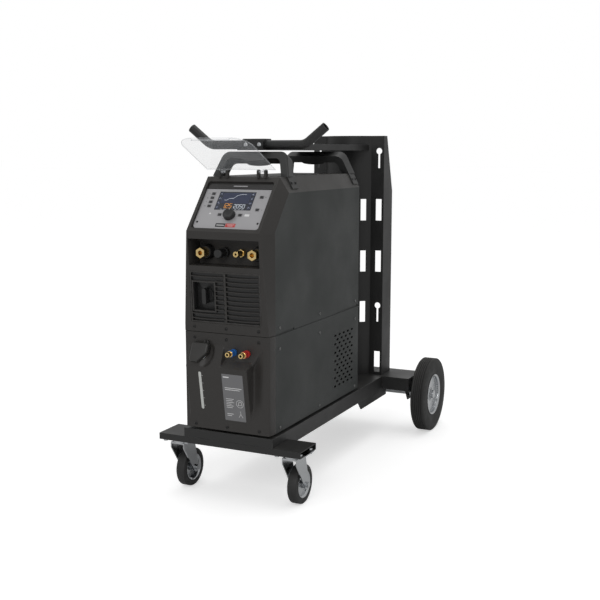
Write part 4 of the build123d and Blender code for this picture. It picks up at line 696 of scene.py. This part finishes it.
def makeGrille():
    plan = grillePlan
    base = facetSlope["shoulderZ"]
    low = plan["low"] - base
    high = plan["high"] - base
    work = bmesh.new()
    deep, flush = plan["rimSpan"]
    rim = plan["rim"]
    half = plan["half"] - 0.4
    for x in (-half + rim / 2, half - rim / 2):
        addPlate(work, browPlace, (x, (low + high) / 2), (rim, high - low - 0.8), deep, flush)
    for s in (low + rim / 2, high - rim / 2):
        addPlate(work, browPlace, (0, s), (2 * half - 2 * rim, rim - 0.8), deep, flush)
    addPlate(work, browPlace, (0, (low + high) / 2), (plan["rib"], high - low - 2 * rim), deep, flush - 0.6)
    x0, x1 = plan["windowX"]
    z0, z1 = plan["windowZ"]
    s0 = z0 - base
    s1 = z1 - base
    frameBar = plan["frameBar"]
    for x in (x0 - frameBar / 2, x1 + frameBar / 2):
        addPlate(work, browPlace, (x, (s0 + s1) / 2), (frameBar, s1 - s0 + 2 * frameBar), deep, flush)
    for s in (s0 - frameBar / 2, s1 + frameBar / 2):
        addPlate(work, browPlace, ((x0 + x1) / 2, s), (x1 - x0, frameBar), deep, flush)
    rims = softenEdges(meshFrom(work, "grilleRims"), "grilleRims", 0.7)
    joined = bmesh.new()
    joined.from_mesh(rims)
    tree = makeSlatTree()
    slatCount = int((high - low - 2 * rim) / plan["pitch"])
    first = low + rim + plan["pitch"] * 0.55
    runs = [(slatCount, plan["rib"] / 2, half - rim, first, plan["sag"])]
    for i in range(slatCount):
        s = first + i * plan["pitch"]
        if s0 - frameBar - 2 < s < s1 + frameBar + 2:
            runs.append((1, x1 + frameBar, -plan["rib"] / 2, s, plan["shortSag"]))
            runs.append((1, -half + rim, x0 - frameBar, s, 0.0))
        else:
            runs.append((1, -half + rim, -plan["rib"] / 2, s, plan["sag"]))
    for count, xa, xb, s, sag in runs:
        joined.from_mesh(slatMesh(tree, count, xa, xb, s, sag))
    finishWork(joined, "louvreGrille", "frontMoulding", standsFor=("front_grille",))
    # dark baffle behind the slats
    back, front = plan["baffleSpan"]
    work = bmesh.new()
    for xa, xb in ((x1 + 1, half - 1), (-half + 1, x0 - 1)):
        addPlate(work, browPlace, ((xa + xb) / 2, (low + high) / 2), (xb - xa, high - low - 2), back, front)
    for sa, sb in ((low + 1, s0 - 1), (s1 + 1, high - 1)):
        addPlate(work, browPlace, ((x0 + x1) / 2, (sa + sb) / 2), (x1 - x0 + 2, sb - sa), back, front)
    finishWork(work, "grilleBaffle", "blackMoulding")
    return slatCount


print("grille slats:", makeGrille())


# control panel prints, screen picture and knob

panelPlan = {"top": -6.0, "headerS": (148.5, 167.5), "headerHalf": 102, "markHeight": 0.12, "screenS": 108,
             "screenSize": (112, 61), "screenTop": -5.6, "knobRadius": 17, "knobHeight": 13, "knobS": 59,
             "knobFloor": -5.7, "leftKeys": [(-75, 131 - 14 * i) for i in range(4)],
             "rightKeys": [(77, 122), (77, 80)], "knobKeys": [(-32, 61), (31, 61)], "keyFrame": (12.8, 9.0),
             "keyLine": 0.5, "dotRing": 4.5, "dots": 11, "dotStep": 24, "badgeX": (-18, 13), "badgeS": 26.5,
             "badgeSize": (30, 12)}


glyphStrokes = [[(-3, -1.5), (-1, 1.5), (1, 1.5), (3, -1.5)],
                [(-2.5, -1.5), (-2.5, 1.5), (0, 1.5), (0, -1.5), (2.5, -1.5)], None,
                [(-2.5, -1.2), (0, 1.6), (2.5, -1.2)]]


def addGlyph(work, place, x, y, kind, low, high):
    # small generic pictograms beside the keys
    if glyphStrokes[kind]:
        addStroke(work, place, [(x + dx, y + dy) for dx, dy in glyphStrokes[kind]], 0.55, low, high)
        return
    addPlate(work, place, (x, y), (4.6, 0.6), low, high)
    for dy in (1.4, -1.4):
        addPlate(work, place, (x, y + dy), (0.8, 0.8), low, high, 0.4)


segmentsOf = {"0": "abcdef", "1": "bc", "2": "abged", "5": "afgcd", "8": "abcdefg"}


def addDigit(work, place, character, x, y, height, low, high):
    w = height * 0.5
    h = height / 2
    t = height * 0.11
    lines = {"a": ((0, 2 * h), (w, 2 * h)), "b": ((w, 2 * h), (w, h)), "c": ((w, h), (w, 0)),
             "d": ((0, 0), (w, 0)), "e": ((0, 0), (0, h)), "f": ((0, h), (0, 2 * h)), "g": ((0, h), (w, h))}
    for key in segmentsOf[character]:
        (xa, ya), (xb, yb) = lines[key]
        addStroke(work, place, [(x + xa, y + ya), (x + xb, y + yb)], t, low, high)


def makePanelPrints():
    plan = panelPlan
    low = plan["top"] + 0.02
    high = plan["top"] + plan["markHeight"]
    over = high + 0.05
    dark = bmesh.new()
    for i, (x, s) in enumerate(plan["leftKeys"]):
        addGlyph(dark, facetPlace, x - 14, s, i, low, high)
    for i, (x, s) in enumerate(plan["rightKeys"]):
        addGlyph(dark, facetPlace, x + 13, s, i + 1, low, high)
    line = plan["keyLine"]
    frameW, frameH = plan["keyFrame"]
    for x, s in plan["leftKeys"] + plan["rightKeys"] + plan["knobKeys"]:
        for offset in (-0.5, 0.5):
            addPlate(dark, facetPlace, (x, s + offset * frameH), (frameW + 0.2, line), low, high)
            addPlate(dark, facetPlace, (x + offset * frameW, s), (line, frameH - line), low, high)
    for i in range(plan["dots"]):
        angle = math.radians(plan["dotStep"] * i - 30)
        reach = plan["knobRadius"] + plan["dotRing"]
        spot = (reach * math.cos(angle), plan["knobS"] + reach * math.sin(angle))
        addPlate(dark, facetPlace, spot, (1.2, 1.2), low, high, 0.6)
    darkX, redX = plan["badgeX"]
    badgeS = plan["badgeS"]
    addPlate(dark, facetPlace, (darkX, badgeS), plan["badgeSize"], low, high, 1)
    finishWork(dark, "panelPrintDark", "printDark")
    red = bmesh.new()
    addPlate(red, facetPlace, (redX, badgeS), plan["badgeSize"], low, high, 1)
    finishWork(red, "panelPrintRed", "printRed")
    pale = bmesh.new()
    addPlate(pale, facetPlace, (52, 61), (14, 7), low, high, 1)
    addPlate(pale, facetPlace, (-63, 64), (5, 5), low, high, 2.5)
    for x, s, size in ((darkX, badgeS, (24, 2)), (redX, badgeS + 2, (24, 1.2)), (redX, badgeS - 2, (16, 1.2))):
        addPlate(pale, facetPlace, (x, s), size, high, over, 0.5)
    finishWork(pale, "panelPrintPale", "printPale")
    s0, s1 = plan["headerS"]
    middle = (0, (s0 + s1) / 2)
    header = bmesh.new()
    addPlate(header, facetPlace, middle, (2 * plan["headerHalf"], s1 - s0), facetSlope["floor"] + 0.05,
             plan["top"], 2)
    finishWork(header, "headerStrip", "darkFoil", soften=0.5)
    badge = bmesh.new()
    addPlate(badge, facetPlace, middle, (44, 3.2), plan["top"], plan["top"] + 0.25, 1.6)
    finishWork(badge, "headerBadge", "silverFoil")


screenPlan = {"curve": [(-34, 2), (-26, 2), (-20, 8), (-8, 8), (2, 18), (14, 22), (28, 22)],
              "curveWidth": 1.1, "icons": 4, "iconPitch": 15, "iconInset": (7, 8), "iconSize": (9, 10),
              "fieldInset": 26, "fieldRise": 9, "paleDigits": ("2050", 2, 9, 12),
              "amberDigits": ("125", -34, 10.5, 14), "digitDrop": 24}


def makeScreenPicture():
    plan = screenPlan
    low = panelPlan["screenTop"] + 0.02
    high = panelPlan["screenTop"] + 0.08
    under = high - 0.02
    middle = panelPlan["screenS"]
    w, h = panelPlan["screenSize"]
    inX, inS = plan["iconInset"]
    blue = bmesh.new()
    inset = plan["fieldInset"]
    addPlate(blue, facetPlace, (0, middle + plan["fieldRise"]), (w - inset, h - inset), low, low + 0.02, 1)
    pale = bmesh.new()
    addStroke(pale, facetPlace, [(x, middle + y) for x, y in plan["curve"]], plan["curveWidth"], under, high)
    for i in range(plan["icons"]):
        for side in (-1, 1):
            x = side * (w / 2 - inX)
            s = middle + h / 2 - inS - i * plan["iconPitch"]
            addPlate(blue, facetPlace, (x, s), plan["iconSize"], low, low + 0.02, 1)
            addGlyph(pale, facetPlace, x, s, (i + side) % 4, under, high)
    finishWork(blue, "screenBlocks", "screenBlue")
    amber = bmesh.new()
    for work, (text, x, pitch, height) in ((pale, plan["paleDigits"]), (amber, plan["amberDigits"])):
        for i, character in enumerate(text):
            addDigit(work, facetPlace, character, x + i * pitch, middle - plan["digitDrop"], height,
                     under, high)
    for i in range(7):
        addPlate(pale, facetPlace, (i * 11 - 34, middle - 29), (7, 0.9), under, high)
    finishWork(pale, "screenLines", "screenPale")
    finishWork(amber, "screenDigits", "screenAmber")


def makeKnob():
    plan = panelPlan
    place = facetPlace @ Matrix.Translation((0, plan["knobS"], plan["knobFloor"]))
    ribs = 32
    work = bmesh.new()
    r = plan["knobRadius"]
    h = plan["knobHeight"]

    def ribbed(radius, height, angle):
        grip = 0.45 if 1.5 < height < h - 2.2 and radius > r * 0.8 else 0.0
        return radius - grip * (0.5 + 0.5 * math.cos(ribs * angle))

    outline = [(0, 0), (r - 0.6, 0), (r, 0.8), (r, 1.4), (r - 0.1, 1.8), (r - 0.5, h - 2.4),
               (r - 0.7, h - 1.6), (r - 1.6, h - 0.5), (r - 3.0, h), (r - 5.5, h - 0.1), (r - 7.5, h - 0.9),
               (5, h - 1.2), (0, h - 1.3)]
    addTurned(work, place, outline, ribs * 4, ribbed)
    finishWork(work, "encoderKnob", "blackMoulding", "knob", ("encoder_knob",), sharpAngle=50)
    mark = bmesh.new()
    addPlate(mark, place, (0, r - 4.6), (1.2, 3.6), h - 0.3, h + 0.1, 0.5)
    finishWork(mark, "knobMark", "printPale", "knob")


makePanelPrints()
makeScreenPicture()
makeKnob()
print("control panel dressed")


# moulded front of the cooler: one smooth skin with a bulge, a side scoop and the coupling pocket

coolerPlan = {"low": 207, "seamGap": 1.2, "leftEdge": -118, "rightEdge": 75, "notchLeft": -7,
              "notchFloor": (389, 408),
              "notchRise": 0.6, "scoopDepth": 9, "scoopSpan": (84, 118), "scoopFoot": (238, 310), "step": 2.0,
              "capX": -78, "capZ": 424, "ringRadius": (36, 47), "ringDepth": 6, "wall": 2.0, "ribPitch": 2.6,
              "ribDepth": 0.9, "flange": 24, "cheekDepth": 33}


def smooth(t):
    t = max(0.0, min(1.0, t))
    return t * t * (3 - 2 * t)


def softMin(a, b, k):
    h = max(0.0, min(1.0, 0.5 + 0.5 * (b - a) / k))
    return b * (1 - h) + a * h - k * h * (1 - h)


def coolerDepth(x, z):
    # how far behind the flat front the skin lies: negative is forward
    plan = coolerPlan
    slope = coolerSlope
    rise = slope["reach"] * (z - slope["low"]) / (slope["ridge"] - slope["low"])
    fall = slope["reach"] * (slope["shelf"] - z) / (slope["shelf"] - slope["ridge"])
    bulge = max(0.0, softMin(rise, fall, 1.6))
    bulge *= smooth((x - plan["leftEdge"] + 2.5) / 5) * (1 - smooth((x - plan["rightEdge"]) / 5))
    # notch behind the couplings, with a ribbed sloping floor
    floorLow, floorHigh = plan["notchFloor"]
    if z > floorLow - 2:
        notch = slope["reach"] * max(0.0, min(1.0, (floorHigh - z) / (floorHigh - floorLow)))
        if 0 < notch < slope["reach"]:
            notch -= plan["ribDepth"] * (0.5 - 0.5 * math.cos(2 * math.pi * (z - floorLow) / plan["ribPitch"]))
        openTo = smooth((x - plan["notchLeft"]) / 3)
        bulge = bulge * (1 - openTo) + min(bulge, max(notch, 0.0)) * openTo
    # curved scoop between the bulge and the right cheek
    top = floorLow + (x - plan["rightEdge"]) / plan["notchRise"]
    near, far = plan["scoopSpan"]
    foot, full = plan["scoopFoot"]
    scoop = plan["scoopDepth"] * smooth((x - plan["rightEdge"] + 1) / 5)
    scoop *= 1 - smooth((x - near) / (far - near))
    scoop *= smooth((top - z) / 8) * smooth((z - foot) / (full - foot))
    # round seat of the filler cap
    reach = math.hypot(x - plan["capX"], z - plan["capZ"])
    inner, outer = plan["ringRadius"]
    ring = plan["ringDepth"] * (1 - smooth((reach - inner) / (outer - inner)))
    ring *= smooth((x - plan["capX"]) / 25)
    return -bulge + scoop + ring * smooth((slope["shelf"] + 4 - z) / 14)


def makeCoolerFront():
    plan = coolerPlan
    step = plan["step"]
    sides = [(134, plan["cheekDepth"]), (133.7, 28), (132.6, 14), (131.6, 6), (130.6, 2), (129.4, 0.6),
             (127.5, 0.1)]
    columns = [(-x, y) for x, y in sides]
    columns += [(-125 + step * i, None) for i in range(int(250 / step) + 1)]
    columns += [(x, y) for x, y in reversed(sides)]
    low = plan["low"]
    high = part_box("source_fascia")[0].z / mm - plan["seamGap"]
    rows = [(low, 12), (low, 1.2), (low + 0.5, 0.3)]
    rows += [(low + 1.5 + (step * 0.65) * i, 0) for i in range(int((high - low - 3) / (step * 0.65)) + 1)]
    rows += [(high - 0.5, 0.3), (high, 1.2), (high, plan["flange"])]
    work = bmesh.new()
    grid = []
    for z, back in rows:
        line = []
        for x, y in columns:
            depth = coolerDepth(x, z) if y is None else y
            depth = max(depth, 0) + back if back else depth
            line.append(work.verts.new(Vector((x, frontY + min(depth, plan["cheekDepth"]), z)) * mm))
        grid.append(line)
    for lower, upper in zip(grid[:-1], grid[1:]):
        for i in range(len(columns) - 1):
            work.faces.new((lower[i], lower[i + 1], upper[i + 1], upper[i]))
    mesh = bpy.data.meshes.new("coolerFront")
    work.to_mesh(mesh)
    work.free()
    piece = placed("coolerFront", smoothed(mesh, 50))
    thick = piece.modifiers.new("wall", "SOLIDIFY")
    thick.thickness = plan["wall"] * mm
    thick.offset = -1
    finishPiece("coolerFront", flattened(piece), "trolley", "frontMoulding",
                ("cooler_fascia",))


labelPlan = {"centre": (28.5, 76), "size": (65, 136), "top": 0.35, "markTop": 0.44, "left": 4,
             "lines": [(9, 135, 18, 3), (29, 104, 52, 1.6), (26, 99, 46, 1.6)],
             "smallLines": (24, 20, 24, 16, 22, 18),
             "smallTop": 72, "footLines": (20, 14), "footTop": 28, "pitch": 5, "ring": (46, 60, 11),
             "stroke": 0.9, "strokes": ([(40, 56), (44, 66), (50, 66), (52, 56), (40, 56)],
                                        [(40, 20), (46, 30), (52, 20)], [(46, 30), (46, 38)]),
             "strip": (-73, 88), "stripSize": (8.4, 110), "ticks": 5, "tickX": -66, "tickFoot": 44,
             "tickPitch": 22}


def makeLabelAndLevel():
    plan = labelPlan
    plate = bmesh.new()
    addPlate(plate, labelPlace, plan["centre"], plan["size"], 0.05, plan["top"], 2)
    finishWork(plate, "dataPlate", "labelFilm", soften=0.1)
    marks = bmesh.new()
    low, high = plan["top"] + 0.01, plan["markTop"]
    bars = [(x, s, width, tall, 0.5 if tall > 2 else 0.4) for x, s, width, tall in plan["lines"]]
    for widths, top, tall in ((plan["smallLines"], plan["smallTop"], 1.2),
                              (plan["footLines"], plan["footTop"], 1.4)):
        bars += [(plan["left"] + width / 2, top - plan["pitch"] * i, width, tall, 0.4)
                 for i, width in enumerate(widths)]
    for x, s, width, tall, radius in bars:
        addPlate(marks, labelPlace, (x, s), (width, tall), low, high, radius)
    x, s, radius = plan["ring"]
    ring = [(x + radius * math.cos(a * math.pi / 8), s + radius * math.sin(a * math.pi / 8))
            for a in range(17)]
    for points in (ring, *plan["strokes"]):
        addStroke(marks, labelPlace, points, plan["stroke"], low, high)
    finishWork(marks, "dataPlateMarks", "printPale")
    strip = bmesh.new()
    addPlate(strip, labelPlace, plan["strip"], plan["stripSize"], -1.5, plan["top"],
             plan["stripSize"][0] / 2, 8)
    finishWork(strip, "levelStrip", "levelStrip", soften=0.5)
    ticks = bmesh.new()
    for i in range(plan["ticks"]):
        addPlate(ticks, labelPlace, (plan["tickX"], plan["tickFoot"] + plan["tickPitch"] * i), (3.2, 0.8),
                 0.05, 0.2)
    finishWork(ticks, "levelTicks", "printPale")


capPlan = {"x": -77, "s": 38.5, "outline": ((-25, -27), (0, -28), (28, 0), (28, 27), (-25, 27)), "corner": 6,
           "neck": ((15, -3), (15, 4), (16, 4.6), (18.4, 4.6), (19, 4), (19, -3)), "neckUnder": 5,
           "lugs": (-64, -55),
           "levels": ((0.0, 0.97), (1.0, 1.0), (10.0, 0.99), (13.0, 0.955), (14.6, 0.88), (15.0, 0.80))}


def roundedOutline(corners, radius, steps=5):
    # a polygon's corners rounded with short arcs
    points = []
    count = len(corners)
    for i in range(count):
        here = Vector(corners[i])
        before = (Vector(corners[i - 1]) - here).normalized()
        after = (Vector(corners[(i + 1) % count]) - here).normalized()
        half = before.angle(after) / 2
        reach = radius / math.tan(half)
        centre = here + (before + after).normalized() * radius / math.sin(half)
        first = here + before * reach - centre
        last = here + after * reach - centre
        turn = first.angle_signed(last)
        for k in range(steps + 1):
            angle = -turn * k / steps
            c, n = math.cos(angle), math.sin(angle)
            points.append((centre.x + first.x * c - first.y * n, centre.y + first.x * n + first.y * c))
    return points


def makeFillerCap():
    # a thick thumb cap: flat along its top, cut away at its lower right
    plan = capPlan
    place = shelfPlace @ Matrix.Translation((plan["x"], plan["s"], 0.3))
    outline = roundedOutline(plan["outline"], plan["corner"])
    work = bmesh.new()
    addStack(work, place, outline, plan["levels"])
    finishWork(work, "fillerCap", "capMoulding", "cap", ("filler_cap",), sharpAngle=40)
    # the tank's own neck is brought under the skin, and a neck is turned on the cap's axis
    tank = bpy.data.objects["coolantTank"].data
    for vertex in tank.vertices:
        spot = vertex.co / mm
        vertex.co.y = max(spot.y, frontY + coolerDepth(spot.x, spot.z) + plan["neckUnder"]) * mm
    tank.update()
    work = bmesh.new()
    addTurned(work, place, plan["neck"] + plan["neck"][:1], 48)
    bmesh.ops.remove_doubles(work, verts=work.verts, dist=1e-6)
    finishWork(work, "fillerNeck", "milkyTank", sharpAngle=40)
    work = bmesh.new()
    for x in plan["lugs"]:
        addPlate(work, slopeMatrix(frontY, coolerSlope["shelf"], (0, 1)), (x, 8), (6, 9), -1, 7, 1.5)
    finishWork(work, "capLugs", "capMoulding", soften=0.6)


makeCoolerFront()
makeLabelAndLevel()
makeFillerCap()
print("cooler front made")


# floor, lights and camera

stagePlan = {"floorHalf": 60, "floorColour": (0.80, 0.80, 0.80), "floorGlow": 0.50, "skyStrength": 0.62,
             "cameraPlace": (1300.7, -2263.2, 969.4), "cameraTurn": 25.47, "cameraDip": 8.64, "lens": 58.37}


def makeFloor():
    half = stagePlan["floorHalf"]
    mesh = bpy.data.meshes.new("studioFloor")
    corners = [(-half, -half, 0), (half, -half, 0), (half, half, 0), (-half, half, 0)]
    mesh.from_pydata(corners, [], [(0, 1, 2, 3)])
    material, tree, shader = newSurface("floorPaper")
    for socket, value in (("Base Color", (*stagePlan["floorColour"], 1)), ("Roughness", 0.9),
                          ("Specular IOR Level", 0.1), ("Emission Color", (1, 1, 1, 1))):
        shader.inputs[socket].default_value = value
    glow = ("ShaderNodeMath", {"operation": "MULTIPLY", 1: stagePlan["floorGlow"]})
    wire(tree, {"shader": shader, "path": "ShaderNodeLightPath", "glow": glow}, """
        path.Is Camera Ray > glow.0
        glow.0 > shader.Emission Strength""")
    mesh.materials.append(material)
    placed("studioFloor", mesh)


def makeSky():
    # white where it is seen, softer where it lights the machine
    world = bpy.data.worlds.new("studioSky")
    world.use_nodes = True
    tree = world.node_tree
    background = tree.nodes["Background"]
    background.inputs["Color"].default_value = (1, 1, 1, 1)
    strength = ("ShaderNodeMapRange", {"To Min": stagePlan["skyStrength"], "To Max": 1.0})
    wire(tree, {"background": background, "path": "ShaderNodeLightPath", "strength": strength}, """
        path.Is Camera Ray > strength.Value
        strength.Result > background.Strength""")
    bpy.context.scene.world = world


lightPlan = [("keyLight", (0.7, -3.6, 2.3), (0, 0, 0.5), (1.2, 1.2), 28),
             ("sideLight", (3.4, -0.4, 2.0), (0, 0, 0.5), (0.6, 2.4), 2.5),
             ("topLight", (0, 0.3, 3.6), (0, 0, 0), (2.4, 2.4), 22)]    # name, place, target, size, watts


def makeLight(name, place, target, size, power):
    light = bpy.data.lights.new(name, "AREA")
    light.shape = "RECTANGLE"
    light.size, light.size_y = size
    light.energy = power
    lamp = placed(name, light)
    lamp.location = place
    lamp.rotation_euler = (Vector(target) - Vector(place)).to_track_quat("-Z", "Y").to_euler()


def makeCamera():
    data = bpy.data.cameras.new("studioCamera")
    data.lens = stagePlan["lens"]
    data.sensor_width = 36
    camera = placed("studioCamera", data)
    x, y, z = stagePlan["cameraPlace"]
    camera.location = Vector((x, y + frontY, z)) * mm
    turn = math.radians(stagePlan["cameraTurn"])
    camera.rotation_euler = (math.radians(90 - stagePlan["cameraDip"]), 0, turn)
    data.clip_end = 200
    bpy.context.scene.camera = camera


makeFloor()
makeSky()
for lightName, place, target, size, power in lightPlan:
    makeLight(lightName, place, target, size, power)
makeCamera()
bpy.context.scene.view_settings.view_transform = "Standard"
print("studio set")
